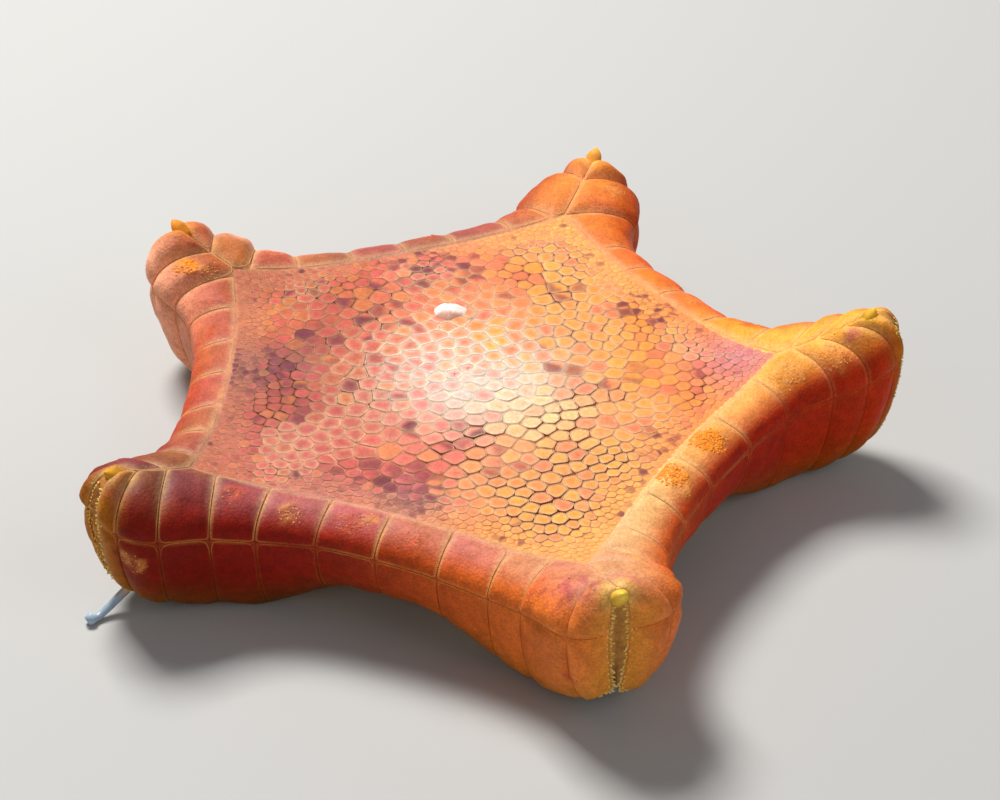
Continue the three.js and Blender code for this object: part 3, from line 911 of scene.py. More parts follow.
class Wiring:
    """The nodes of one material. Sizes are in mm."""

    def __init__(self, made):
        self.nodes, self.links = made.node_tree.nodes, made.node_tree.links
        self.place = self.nodes.new("ShaderNodeTexCoord").outputs["Object"]

    def node(self, kind, values, wires):
        """A new node with constant values, and with other sockets wired to it."""
        added = self.nodes.new("ShaderNode" + kind)
        set_inputs(added, values)
        for socket, source in wires.items():
            self.links.new(source, added.inputs[socket])
        return added

    def texture(self, kind, size, values, output):
        """A texture of a given grain."""
        values = {"Scale": 1 / (size * MM), **values}
        return self.node(kind, values, {"Vector": self.place}).outputs[output]

    def between(self, value, low, high):
        """A value that mostly runs from 0.3 to 0.7, made to run between two others."""
        values = {"From Min": 0.3, "From Max": 0.7, "To Min": low, "To Max": high}
        return self.node("MapRange", values, {"Value": value}).outputs["Result"]

    def wandering(self, size, detail, low, high):
        """Noise that wanders between two values."""
        return self.between(self.texture("TexNoise", size, {"Detail": detail}, "Fac"), low, high)

    def multiplied(self, first, second):
        """The product of two colours."""
        added = self.nodes.new("ShaderNodeMix")
        added.data_type = "RGBA"
        added.blend_type = "MULTIPLY"
        set_inputs(added, {"Factor": 1.0})
        self.links.new(first, added.inputs["A"])
        self.links.new(second, added.inputs["B"])
        return added.outputs["Result"]

    def bump(self, height, strength, depth, wires):
        """Fine relief, on top of any other."""
        values = {"Strength": strength, "Distance": depth * MM}
        return self.node("Bump", values, {"Height": height, **wires})


def wet_hide(name, roughness, spread, coat, flesh, blotch, blotch_size, grain, grain_size,
             grain_depth, coat_roughness=0.35, granule=0.0):
    """A wet, finely grained hide that takes its colours from the mesh.

    spread: how much the roughness wanders. flesh: share of light that passes under the surface.
    blotch: how strongly the colour wanders, over blotch_size mm. grain: strength of the fine
    relief, grain_size mm apart and grain_depth mm deep. granule: size in mm of the round
    granules that crowd the surface, if it has any.
    """
    made = bpy.data.materials.new(name)
    made.use_nodes = True
    wiring = Wiring(made)
    tint = wiring.node("Attribute", {}, {})
    tint.attribute_name = "tint"
    broad = wiring.wandering(blotch_size, 3, 1 - blotch, 1 + blotch)
    speck = wiring.wandering(grain_size * 2.5, 2, 1 - 0.6 * blotch, 1 + 0.6 * blotch)
    colour = wiring.multiplied(wiring.multiplied(tint.outputs["Color"], broad), speck)
    rough = wiring.wandering(blotch_size * 0.7, 2, roughness - spread, roughness + spread)
    relief = wiring.texture("TexNoise", grain_size, {"Detail": 3}, "Fac")
    bump = wiring.bump(relief, grain, grain_depth, {})
    if granule:
        cells = wiring.texture("TexVoronoi", granule, {}, "Distance")
        # painted shade: the colour is lighter on each granule and darker between them
        colour = wiring.multiplied(colour, wiring.between(cells, 1.10, 0.88))
        bump = wiring.bump(cells, 0.5, 0.3 * granule, {"Normal": bump.outputs["Normal"]})
        bump.invert = True
    shader = wiring.nodes["Principled BSDF"]
    set_inputs(shader, {
        "Specular IOR Level": 0.11, "Coat Weight": coat, "Coat Roughness": coat_roughness,
        "Subsurface Weight": flesh, "Subsurface Radius": (1.0, 0.35, 0.18),
        "Subsurface Scale": 0.0012,
    })
    wires = {"Base Color": colour, "Roughness": rough, "Normal": bump.outputs["Normal"]}
    for socket, source in wires.items():
        wiring.links.new(source, shader.inputs[socket])
    return made


HIDE = wet_hide("hide", roughness=0.55, spread=0.08, coat=0.03, flesh=0.06, blotch=0.12,
                blotch_size=2.0, grain=0.5, grain_size=0.42, grain_depth=0.10, granule=0.44)
TILE_HIDE = wet_hide("tile", roughness=0.60, spread=0.08, coat=0.04, flesh=0.05, blotch=0.12,
                     blotch_size=1.2, grain=0.70, grain_size=0.24, grain_depth=0.10)
BEAD_HIDE = wet_hide("bead", roughness=0.60, spread=0.08, coat=0.03, flesh=0.05, blotch=0.08,
                     blotch_size=1.2, grain=0.30, grain_size=0.15, grain_depth=0.05)
STONE = wet_hide("stone", roughness=0.55, spread=0.10, coat=0.08, flesh=0.08, blotch=0.08,
                 blotch_size=1.0, grain=0.40, grain_size=0.18, grain_depth=0.06)
FOOT_FLESH = wet_hide("tube_foot", roughness=0.22, spread=0.05, coat=0.50, flesh=0.45,
                      blotch=0.06, blotch_size=1.5, grain=0.25, grain_size=0.30,
                      grain_depth=0.05, coat_roughness=0.10)

# ---- tiles of the upper side and the under side ----------------------------------------


def inside(points, outline):
    """Which points of the plan lie inside a closed outline."""
    x, y = points[:, 0:1], points[:, 1:2]
    ax, ay = outline[:, 0], outline[:, 1]
    bx, by = np.roll(ax, -1), np.roll(ay, -1)
    crosses = (ay > y) != (by > y)
    at = ax + (y - ay) / np.where(by == ay, 1e-9, by - ay) * (bx - ax)
    return (crosses & (x < at)).sum(1) % 2 == 1


def to_outline(points, outline):
    """Distance from each point to an outline."""
    start = outline
    edge = np.roll(outline, -1, 0) - outline
    away = points[:, None] - start[None]
    share = np.clip((away * edge).sum(-1) / np.maximum((edge * edge).sum(-1), 1e-9), 0, 1)
    return np.linalg.norm(away - share[..., None] * edge, axis=-1).min(1)


PLACES_TRIED = 24000     # random places from which a paving's first centres are drawn
HEXAGON = 0.866          # area of a six-sided cell, over its width squared
LONGEST_RADIUS = 4.0     # in mm, of a circle through three neighbouring centres
PUSH = 1.3               # how far a centre moves, over its way to the middle of its cell


def circle_centres(a, b, c):
    """Centres of the circles through three points each, none too far from the first."""
    ab, ac = b - a, c - a
    twice = 2 * (ab[:, 0] * ac[:, 1] - ab[:, 1] * ac[:, 0])
    twice = np.where(np.abs(twice) < 1e-9, 1e-9, twice)
    square_b, square_c = (ab ** 2).sum(1), (ac ** 2).sum(1)
    offset = np.stack([ac[:, 1] * square_b - ab[:, 1] * square_c,
                       ab[:, 0] * square_c - ac[:, 0] * square_b], -1) / twice[:, None]
    length = np.linalg.norm(offset, axis=1, keepdims=True)
    return a + offset * np.minimum(1, LONGEST_RADIUS / np.maximum(length, 1e-9))


def cell_edges(every, faces):
    """Edges of the cells round all points: whose each is, its start and its end."""
    owner = faces.ravel()
    corner = np.repeat(circle_centres(*(every[faces[:, i]] for i in range(3))), 3, 0)
    away = corner - every[owner]
    order = np.lexsort((np.arctan2(away[:, 1], away[:, 0]), owner))
    owner, corner = owner[order], corner[order]
    last = np.r_[owner[1:] != owner[:-1], True]
    first = np.r_[True, last[:-1]]
    following = np.roll(corner, -1, 0)
    following[last] = corner[first]
    return owner, corner, following


class Paving:
    """Plates that fill an outline: centres, and the directions and distances of neighbours."""

    def __init__(self, rng, outline, spacing, margin, rounds):
        self.outline = outline
        low, high = outline.min(0), outline.max(0)
        tried = rng.uniform(low, high, (PLACES_TRIED, 2))
        tried = tried[inside(tried, outline)]
        depth = to_outline(tried, outline)
        tried, depth = tried[depth > margin], depth[depth > margin]
        dense = 1 / spacing(tried, depth) ** 2
        area = (high - low).prod() / PLACES_TRIED
        count = int((dense * area / HEXAGON).sum())
        chosen = rng.choice(len(tried), count, replace=False, p=dense / dense.sum())
        self.centres = tried[chosen]
        self.fence = self.fence_posts(margin, spacing)
        for _ in range(rounds):
            self.relax(spacing)
        self.find_neighbours()

    def fence_posts(self, margin, spacing):
        """Fixed points just outside the outline, which close the plates along it."""
        closed = np.concatenate([self.outline, self.outline[:1]])
        edge = np.diff(closed, axis=0)
        normal = unit(np.stack([edge[:, 1], -edge[:, 0]], -1))
        step = spacing(self.outline, np.zeros(len(self.outline))).mean()
        run = run_along(closed)
        marks = np.arange(0, run[-1], step)
        out = unit(at_marks(marks, run, np.concatenate([normal, normal[:1]])))
        return at_marks(marks, run, closed) + out * (step / 2 - margin)

    def triangles(self):
        """All centres and posts, and the triangles between them."""
        every = np.concatenate([self.centres, self.fence])
        made = delaunay_2d_cdt([Vector(p) for p in every], [], [], 0, 1e-6)
        faces = np.array([face for face in made[2] if len(face) == 3])
        order = np.array([ids[0] for ids in made[3]])
        return every, order[faces]

    def relax(self, spacing):
        """Moves each centre to the weighted middle of its cell, and past it."""
        every, faces = self.triangles()
        owner, corner, following = cell_edges(every, faces)
        home = every[owner]
        to, on = corner - home, following - home
        wedge = np.abs(to[:, 0] * on[:, 1] - to[:, 1] * on[:, 0])
        middle = (corner + following + home) / 3
        weight = wedge / spacing(middle, to_outline(middle, self.outline[::3])) ** 4 + 1e-12
        size = len(every)
        total = np.bincount(owner, weight, size)
        target = np.stack([np.bincount(owner, weight * middle[:, i], size) for i in (0, 1)], -1)
        target /= np.maximum(total, 1e-12)[:, None]
        count = len(self.centres)
        moved = every[:count] + PUSH * (target[:count] - every[:count])
        kept = inside(moved, self.outline)
        self.centres = np.where(kept[:, None], moved, self.centres)

    def find_neighbours(self, most=12):
        """For each centre: half the way to each neighbour, and the bearing of it."""
        every, faces = self.triangles()
        pairs = np.concatenate([faces[:, [0, 1]], faces[:, [1, 2]], faces[:, [2, 0]]])
        pairs = np.unique(np.concatenate([pairs, pairs[:, ::-1]]), axis=0)
        count = len(self.centres)
        pairs = pairs[pairs[:, 0] < count]
        away = every[pairs[:, 1]] - every[pairs[:, 0]]
        rank = np.arange(len(pairs)) - np.searchsorted(pairs[:, 0], pairs[:, 0])
        few = rank < most
        self.reach = np.full((count, most), 1e3)
        self.bearing = np.zeros((count, most))
        self.reach[pairs[few, 0], rank[few]] = np.linalg.norm(away, axis=1)[few] / 2
        self.bearing[pairs[few, 0], rank[few]] = np.arctan2(away[:, 1], away[:, 0])[few]

    def radius(self, angles, inset, sharp=13.0):
        """Distance from a plate's centre to its edge, less the inset, with rounded corners."""
        facing = np.maximum(0.02, np.cos(angles[None, :, None] - self.bearing[:, None]))
        clear = np.maximum(0.05, self.reach - inset)[:, None]
        return ((facing / clear) ** sharp).sum(-1) ** (-1 / sharp)


TILE_SIDES = 22
# Rings of a plate from its foot up: inset from the border between two plates, and height
TILE_RINGS = ((0.17, -0.45), (0.17, -0.07), (0.22, -0.01), (0.34, 0.03), (0.80, 0.05))
# and how far each ring of the upper side shows the plate's pale border, the middle last
TILE_PALE = (0, 0, 0.50, 0.28, 0.08, 0.0)
TILE_CROWN = 0.06
TILE_DEPTH = 0.5
CRACK_WIDTH = 0.22
FULL_SIZE = 1.7              # radius of a plate with borders of full width
SMALL_SIZES = (1.2, 0.65)    # radii below which a plate starts to count as small, and wholly does
SMALL_SINK = 0.04            # how much lower a small plate lies


def tile_faces(sides, rings):
    """Triangles of a closed plate: rings from the bottom up, then the top and bottom middle."""
    faces = []
    for r, i in product(range(rings - 1), range(sides)):
        j = (i + 1) % sides
        low, high = r * sides, (r + 1) * sides
        faces += [(low + i, low + j, high + j), (low + i, high + j, high + i)]
    top, bottom = rings * sides, rings * sides + 1
    last = (rings - 1) * sides
    for i in range(sides):
        j = (i + 1) % sides
        faces += [(last + i, last + j, top), (j, i, bottom)]
    return np.array(faces)


BEAD_SIDES = 4


def bead_shape():
    """A bead on a unit base: two rings of four, an apex, closed below."""
    ring = ray(turns(BEAD_SIDES) + math.pi / BEAD_SIDES)
    points = np.concatenate([lifted(ring, -1.0), lifted(ring * 0.85, 0.55), [[0, 0, 1.0]]])
    faces = []
    for i in range(BEAD_SIDES):
        j = (i + 1) % BEAD_SIDES
        faces += [(i, j, BEAD_SIDES + j), (i, BEAD_SIDES + j, BEAD_SIDES + i)]
        faces.append((BEAD_SIDES + i, BEAD_SIDES + j, 2 * BEAD_SIDES))
    faces += [(0, 2, 1), (0, 3, 2)]
    return points, np.array(faces)


BEAD = bead_shape()


def turned(rows, sides, top=1.0, bottom=None):
    """A closed round shape about +Z from (radius, height) rows, bottom to top."""
    ring = ray(turns(sides))
    points = [lifted(ring * radius, height) for radius, height in rows]
    bottom = rows[0][1] if bottom is None else bottom
    points += [[[0, 0, top]], [[0, 0, bottom]]]
    return np.concatenate(points), tile_faces(sides, len(rows))


def add_copies(parts, shape, at, up, ahead, size, tints, places=None):
    """Copies of a shape that stands on +Z. size: along ahead, sideways, upwards.

    tints has a row for each copy, or one for each copy and each point of the shape. places is
    where the copies lie on the unwrap, if not where they lie in the plan.
    """
    points, faces = shape
    up = unit(up)
    side = unit(np.cross(up, ahead))
    ahead = np.cross(side, up)
    scaled = points[None] * size[:, None]
    placed = (at[:, None] + scaled[..., :1] * ahead[:, None]
              + scaled[..., 1:2] * side[:, None] + scaled[..., 2:] * up[:, None])
    # painted shade: a copy with a single tint has its lower points painted darker, as shade at its
    # foot
    if tints.ndim == 2:
        tints = tints[:, None] * np.where(points[:, 2] < 0, 0.8, 1.0)[None, :, None]
    places = at[:, :2] if places is None else places
    parts.add(placed, faces, tints, places[:, None] + scaled[..., :2] * 0.6)


def sizes(count, along, sideways, upwards):
    """Sizes of copies, from one number or one for each copy."""
    return np.stack([np.broadcast_to(size, count) for size in (along, sideways, upwards)], -1)


def top_outline():
    """The inner border of the rim, all round the tiled disc."""
    sides = [rim.points[rim.start:rim.stop, 0, :2] for rim in RIMS]
    return np.concatenate(sides)


def top_spacing(points, depth):
    """Wanted distance between plates: small along the rim, large in the open disc."""
    reach = np.linalg.norm(points, axis=-1)
    wide = 1.45 + 2.05 * smooth(depth, 0.8, 13)
    wide = wide - 0.75 * np.exp(-(reach / 11) ** 2)
    return wide * (1 + 0.24 * noise(lifted(points), 4.5, 41))


# Soft patches of the disc: x, y, radius, tone, strength. The large dark ones on the left are
# partly painted shade, and the pale one at (2, -8) near the middle is partly a painted highlight
DISC_PATCHES = (
    (-43, 6, 26, rgb(168, 72, 80), 0.85), (-24, -14, 17, rgb(190, 84, 80), 0.8),
    (-42, 27, 15, rgb(196, 92, 66), 0.7), (2, -8, 14, rgb(255, 206, 192), 0.9),
    (12, -13, 8, rgb(255, 220, 156), 0.75), (4, 8, 7, rgb(250, 152, 20), 0.95),
    (26, 2, 14, AMBER, 0.4), (14, 34, 14, AMBER, 0.35), (18, -30, 14, AMBER, 0.4),
    (46, 4, 9, rgb(198, 118, 140), 0.85), (-36, -24, 12, rgb(214, 96, 88), 0.5),
    (-6, -24, 12, PINK, 0.5), (15, -45, 10, AMBER, 0.6), (-8, 32, 10, rgb(178, 96, 104), 0.6),
    (-40, 1, 7, rgb(118, 70, 92), 0.8), (-10, -38, 8, rgb(146, 96, 122), 0.8),
    (-24, -36, 9, rgb(206, 112, 124), 0.7), (30, 16, 9, rgb(246, 138, 60), 0.4),
    (-38, 15, 8, rgb(255, 140, 84), 0.7), (-31, 2, 6, rgb(150, 92, 108), 0.45),
    (-32, -22, 9, rgb(226, 130, 120), 0.5),
)
# Where dark plates gather: x, y, radius, share of the plates there
DARK_PLACES = (
    (-8, 32, 9, 0.60), (-1, 27, 5, 0.5), (-38, 0, 8, 0.55), (-31, -10, 5, 0.55),
    (-10, -35, 6, 0.9), (33, 21, 7, 0.45), (27, 21, 4, 0.45), (32, -20, 6, 0.55),
    (-25, 11, 5, 0.6), (-18, 15, 5, 0.6), (-18, -27, 5, 0.5), (-11, -16, 4, 0.55),
    (-1, -20, 4, 0.6), (5, -24, 4, 0.4), (14, 23, 5, 0.5), (14, -1, 4, 0.5), (24, -8, 4, 0.55),
    (12, -34, 4, 0.35), (-28, 24, 4, 0.4),
)


def under_spacing(_, depth):
    """Wanted distance between plates of the under side."""
    return 2.1 + 1.1 * smooth(depth, 0.5, 8)


def disc_tone(plan):
    """The tone of the disc: salmon to orange, with soft patches, some of which are partly painted
    shade and a painted highlight.
    """
    side = 0.4 * noise(lifted(plan), 18, 51) + plan[..., 0] / 60
    colour = mix(SALMON, ORANGE, smooth(side, -0.5, 0.5))
    for x, y, radius, tone, strength in DISC_PATCHES:
        colour = mix(colour, tone, strength * bell(from_spot(plan, x, y), 0, radius))
    return colour


def darkness(plan, rng):
    """How dark each plate is: most aren't, and the dark ones gather in places."""
    chance = np.full(len(plan), 0.06)
    for x, y, radius, share in DARK_PLACES:
        near = smooth(from_spot(plan, x, y), 1.5 * radius, 0.4 * radius)
        chance = np.maximum(chance, share * near)
    return (rng.random(len(plan)) < chance) * rng.uniform(0.4, 1.0, len(plan))


class Pavers:
    """The solids of one paving: plates, and the granules round them."""

    def __init__(self, paving, rng, height, offset, tilt, flip=1):
        self.paving, self.rng = paving, rng
        self.height = height         # of the side that the plates lie on
        self.offset = offset         # of the plates from that height, upwards
        self.tilt = tilt             # how steeply each plate rises outward
        self.flip = flip             # 1 on the upper side, -1 on the under side
        self.angles = turns(TILE_SIDES)
        self.outward = unit(paving.centres)
        self.size = paving.radius(self.angles, 0.0).mean(1)
        self.parted = cracking(paving.centres) * smooth(self.size, 0.9, 1.3)
        middle_of_disc = bell(np.linalg.norm(paving.centres, axis=1), 0, 16)
        self.shrink = np.clip(self.size / FULL_SIZE, 0.5, 1.0) * (1 + 0.7 * middle_of_disc)

    def border(self, angles, inset):
        """Distance from each plate's centre to its border, where an outer edge may gape."""
        bearing = np.arctan2(self.outward[:, 1], self.outward[:, 0])
        facing = np.cos(angles[None] - bearing[:, None])
        gape = CRACK_WIDTH * self.parted[:, None] * smooth(facing, 0.1, 0.6)
        whole = self.paving.radius(angles, 0.0)
        return whole - (whole - self.paving.radius(angles, inset)) * self.shrink[:, None] - gape

    def level(self, plan, which):
        """Height of a plate's own plane: its middle's height, its slope and its tilt."""
        middle = self.paving.centres[which]
        away = plan - middle[:, None]
        lean = (away * self.outward[which][:, None]).sum(-1) * self.tilt[which][:, None]
        sunk = SMALL_SINK * smooth(self.size[which], *SMALL_SIZES)[:, None]
        return self.height(plan) + self.offset - sunk + lean

    def add_tiles(self, parts, which, tints):
        """The plates: rings from the foot up, with a low crown, closed below."""
        middle = self.paving.centres[which][:, None]
        low = np.clip(self.size[which] / FULL_SIZE, 0.6, 1.0)[:, None]
        rays = ray(self.angles)[None]
        rings, colours, places = [], [], []
        for number, (inset, rise) in enumerate(TILE_RINGS):
            clear = self.border(self.angles, inset)[which]
            plan = middle + rays * clear[..., None]
            rings.append(lifted(plan, self.level(plan, which) + self.flip * rise * low))
            colours.append(tints(plan, which, number))
            places.append(middle + rays * (clear * (1 - 0.08 * number))[..., None])
        z = self.level(middle, which)
        rings += [lifted(middle, z + self.flip * TILE_CROWN),
                  lifted(middle, z - self.flip * TILE_DEPTH)]
        colours += [tints(middle, which, len(TILE_RINGS)), tints(middle, which, 0)]
        places += [middle, middle]
        faces = tile_faces(TILE_SIDES, len(TILE_RINGS))
        parts.add(np.concatenate(rings, 1), faces[:, ::self.flip], np.concatenate(colours, 1),
                  np.concatenate(places, 1))

    def add_granules(self, parts, which, pitch, inset, half_width, tints):
        """A ring of beads round each plate."""
        fine = np.linspace(0, 2 * math.pi, 181)
        radius = self.border(fine, inset)
        at, turn, owner = [], [], []
        for index in which:
            ring = self.paving.centres[index] + ray(fine) * radius[index][:, None]
            run = run_along(ring)
            number = max(8, int(round(run[-1] / pitch)))
            marks = (np.arange(number) + self.rng.random()) / number * run[-1] % run[-1]
            at.append(at_marks(marks, run, ring))
            turn.append(np.interp(marks, run, fine))
            owner.append(np.full(number, index))
        at, turn, owner = np.concatenate(at), np.concatenate(turn), np.concatenate(owner)
        normal = slope(self.height, at) * self.flip
        z = self.level(at[:, None], owner)[:, 0]
        wide = half_width * self.shrink[owner] * self.rng.uniform(0.85, 1.15, len(at))
        add_copies(parts, BEAD, lifted(at, z), normal, lifted(ray(turn + QUARTER)),
                   sizes(len(at), pitch * 0.62, wide, 0.09), tints(at, owner))


class TopColours:
    """Tones of the upper side's plates, drawn once for each of them."""

    def __init__(self, pavers, rng):
        self.pavers, self.rng = pavers, rng
        self.centres = centres = pavers.paving.centres
        count = len(centres)
        small = smooth(pavers.size, *SMALL_SIZES)
        reach = np.linalg.norm(centres, axis=1)
        self.face = self.face_tone(small)
        self.dark = darkness(centres, rng)
        self.toward = ray(rng.uniform(0, 2 * math.pi, count))
        self.start = rng.uniform(-1.5, 0.3, count)
        cloudy = noise(lifted(centres), 10, 62) - 0.01 * centres[:, 0]
        self.faint = smooth(reach, 16, 34) * smooth(cloudy, -0.2, 0.4) * (1 - small)
        rim = mix(self.face, TILE_RIM, 0.24 + 0.48 * (1 - small) * (1 - self.faint))
        self.rim = np.minimum(1, 1.06 * mix(rim, WHITE, 0.75 * smooth(reach, 24, 6)))

    def face_tone(self, small):
        """Each plate's own tone: the disc's, some warmer, some pinker, paler where small, and
        darker towards the left, which is painted shade.
        """
        centres, rng = self.centres, self.rng
        warm = rng.random(len(centres))
        face = mix(disc_tone(centres), AMBER, (0.25 - 0.2 * small) * smooth(warm, 0.70, 0.95))
        face = mix(face, PINK, (0.5 - 0.3 * small) * smooth(warm, 0.45, 0.05))
        border = mix(SMALL_TILE_ROSE, SMALL_TILE_GOLD, smooth(centres[:, 0], -35, 25))
        face = mix(face, border, 0.55 * small * smooth(centres[:, 0], 38, 26))
        # painted shade: the plates darken towards the left, where less light falls
        face = face * (1 - 0.26 * smooth(-centres[:, 0], 0, 30))[:, None]
        uneven = rng.uniform(-0.10, 0.08, len(centres)) * (1 - 0.6 * small)
        return face * (1 + uneven[:, None])

    def tile(self, plan, which, ring):
        """A ring of plates: a dark stain from one side, faint rays, a pale border, or at its foot
        painted shade where it parts from its neighbours.
        """
        away = (plan - self.centres[which][:, None]) / self.pavers.size[which][:, None, None]
        start = self.start[which][:, None]
        stain = smooth((away * self.toward[which][:, None]).sum(-1), start, start + 0.7)
        dark = self.dark[which][:, None]
        colour = mix(self.face[which][:, None], PLUM, 0.95 * stain * dark)
        rays = np.where(np.arange(plan.shape[1]) % 2, 1, -1) * (ring in (2, 3, 4))
        colour = colour * (1 + 0.08 * noise(lifted(plan), 0.9, 61) + 0.08 * rays)[..., None]
        if ring <= 1:
            # painted shade on the foot of a plate where it parts from its neighbours
            parted_shade = 0.85 * self.pavers.parted[which][:, None]
            return mix(colour, CRACK_SHADE, np.broadcast_to(parted_shade, plan.shape[:-1]))
        edge = TILE_PALE[ring] * (1 - 0.5 * dark) * (1 - 0.6 * self.faint[which][:, None])
        return mix(colour, self.rim[which][:, None], np.broadcast_to(edge, plan.shape[:-1]))

    def granule(self, at, owner):
        """Granules in the pale tone of their plate's border."""
        colour = mix(self.rim[owner], MAUVE, 0.25 * self.dark[owner])
        return colour * self.rng.uniform(0.92, 1.10, len(at))[:, None]


def build_top():
    """Plates of the upper side and their granules, in a piece of each for every arm."""
    rng = np.random.default_rng(7)
    paving = Paving(rng, top_outline(), top_spacing, margin=0.2, rounds=14)
    centres = paving.centres
    tilt = rng.normal(0.035, 0.03, len(centres))
    pavers = Pavers(paving, rng, top_height, offset=-0.04, tilt=tilt)
    colours = TopColours(pavers, rng)
    clear = np.hypot(*((centres - SIEVE_AT) / SIEVE_RADII).T) > 0.8
    sector = np.stack([centres @ arm.along for arm in ARMS], -1).argmax(1)
    for k, arm in enumerate(ARMS):
        which = np.flatnonzero((sector == k) & clear)
        tiles, beads = Gathered(), Gathered()
        pavers.add_tiles(tiles, which, colours.tile)
        pavers.add_granules(beads, which, pitch=0.31, inset=0.09, half_width=0.105,
                            tints=colours.granule)
        tiles.piece(f"tiles_{arm.name}", TILE_HIDE, "skin")
        beads.piece(f"granules_{arm.name}", BEAD_HIDE, "skin")


class UnderColours:
    """Tones of the under side's plates, drawn once for each of them."""

    def __init__(self, centres, rng):
        self.rng = rng
        uneven = rng.uniform(0.88, 1.08, len(centres))
        self.face = under_colour(lifted(centres)) * uneven[:, None]

    def tile(self, plan, which, ring):
        """A ring of plates in their own tone, with rust at their foot."""
        colour = np.broadcast_to(self.face[which][:, None], plan.shape[:-1] + (3,))
        return mix(colour, RUST, np.full(plan.shape[:-1], 0.45 if ring <= 1 else 0.0))

    def granule(self, at, owner):
        """Granules in the tone of their plate, uneven."""
        return self.face[owner] * self.rng.uniform(0.95, 1.2, len(at))[:, None]


def under_outline(k):
    """The three-cornered field between two furrows on the under side."""
    rim, arm = RIMS[k], ARMS[k]
    edge = rim.points[rim.start:rim.stop + 1, -1, :2]
    steps = np.linspace(0, 1, 30)[1:-1, None]
    home = edge[-1] + (arm.jaw - edge[-1]) * steps
    back = arm.jaw + (edge[0] - arm.jaw) * steps
    return np.concatenate([edge, home, arm.jaw[None], back])


def build_under():
    """Plates of the under side, in the fields between the furrows."""
    rng = np.random.default_rng(11)
    for k in range(len(ARMS)):
        paving = Paving(rng, under_outline(k), under_spacing, margin=0.5, rounds=25)
        centres = paving.centres
        level = np.zeros(len(centres))
        pavers = Pavers(paving, rng, sole_height, offset=0.06, tilt=level, flip=-1)
        colours = UnderColours(centres, rng)
        which = np.arange(len(centres))
        parts = Gathered()
        pavers.add_tiles(parts, which, colours.tile)
        pavers.add_granules(parts, which, pitch=0.56, inset=0.19, half_width=0.17,
                            tints=colours.granule)
        parts.piece(f"under_tiles_{k + 1}", BEAD_HIDE, "skin")


# ---- sieve plate -----------------------------------------------------------------------

SIEVE_AT = np.array([-3.8, 17.8])
SIEVE_RADII = (3.0, 2.7)
SIEVE_HEIGHT = 1.0
SIEVE_ROOT = 0.8             # how deep it is set into the disc
SIEVE_RIDGE = 0.06


def sieve_surface(plan, reach, angle):
    """Height and tint of the sieve plate over the hide: a dome with winding ridges. The tint is
    painted darker in the grooves and round the edge as shade, and browner on the half towards
    -y, partly its own brown and partly painted shade.
    """
    winding = 18 * angle + 4.5 * noise(lifted(plan), 0.9, 71) + 3 * reach
    ridge = np.sin(winding) * smooth(reach, 0.12, 0.4)
    height = SIEVE_HEIGHT * (1 - reach ** 3.0) + SIEVE_RIDGE * ridge * (1 - reach ** 6)
    height += 0.08 * noise(lifted(plan), 1.6, 72) - 0.15
    # painted shade in the grooves between the ridges
    tint = mix(WHITE, SIEVE_GROOVE_SHADE, 0.45 * smooth(-ridge, 0.1, 0.9))
    # the half towards -y: partly its own brown, partly painted shade
    tint = mix(tint, SIEVE_BROWN_AND_SHADE, 0.8 * smooth(SIEVE_AT[1] - plan[..., 1], 0.4, 1.8))
    # painted shade: a dark ring where the edge meets the hide
    return height, mix(tint, CRACK_SHADE, 0.8 * smooth(reach, 0.93, 0.99))


def build_sieve():
    """The sieve plate: a low white dome with winding ridges that run out to its edge."""
    rings, sides = 34, 96
    reach, angle = np.meshgrid(np.arange(rings + 1) / rings, turns(sides), indexing="ij")
    wobble = 1 + 0.05 * np.sin(3 * angle + 1) + 0.03 * np.sin(7 * angle)
    plan = SIEVE_RADII * reach[..., None] * ray(angle) * wobble[..., None] + SIEVE_AT
    height, tint = sieve_surface(plan, reach, angle)
    points = lifted(plan, top_height(plan) + height)
    points[-1, :, 2] = top_height(plan[-1]) - SIEVE_ROOT
    # the rings run outward, so they are taken in turn from the last, which is the lowest
    base = lifted(SIEVE_AT, top_height(SIEVE_AT) - SIEVE_ROOT)
    everything = np.concatenate([points[:0:-1].reshape(-1, 3), [points[0, 0]], [base]])
    colours = np.concatenate([tint[:0:-1].reshape(-1, 3), [WHITE], [WHITE]])
    parts = Gathered()
    parts.add(everything, tile_faces(sides, rings), colours, everything[:, :2])
    parts.piece("sieve_plate", STONE, "sieve_plate", ["madreporite"])


# ---- beads of the rim ------------------------------------------------------------------

BEAD_PITCH = 0.36
BEAD_INSET = 0.17            # from the border of the plate
SQUARENESS = 2 / 9           # of a ring of beads: 1 would be an ellipse


def seam_path(rim, plate, half):
    """A line just inside the border of one rim plate, as u and w."""
    turn = np.linspace(0, 2 * math.pi, 721)
    ends = rim.seams[plate:plate + 2]
    middle = ends.mean(), 0.25 + 0.5 * half
    column = rim.sample(rim.run_u, ends, np.full(2, middle[1]))
    row = rim.sample(rim.run_w, np.full(2, middle[0]), np.array([0.0, 0.5]) + 0.5 * half)
    half_u = (0.5 - BEAD_INSET / max(column[1] - column[0], 1)) * (ends[1] - ends[0])
    half_w = 0.25 - 0.5 * BEAD_INSET / max(row[1] - row[0], 1)
    across, along = np.cos(turn), np.sin(turn)
    u = middle[0] + half_u * np.sign(across) * np.abs(across) ** SQUARENESS
    w = middle[1] + half_w * np.sign(along) * np.abs(along) ** SQUARENESS
    return u, w


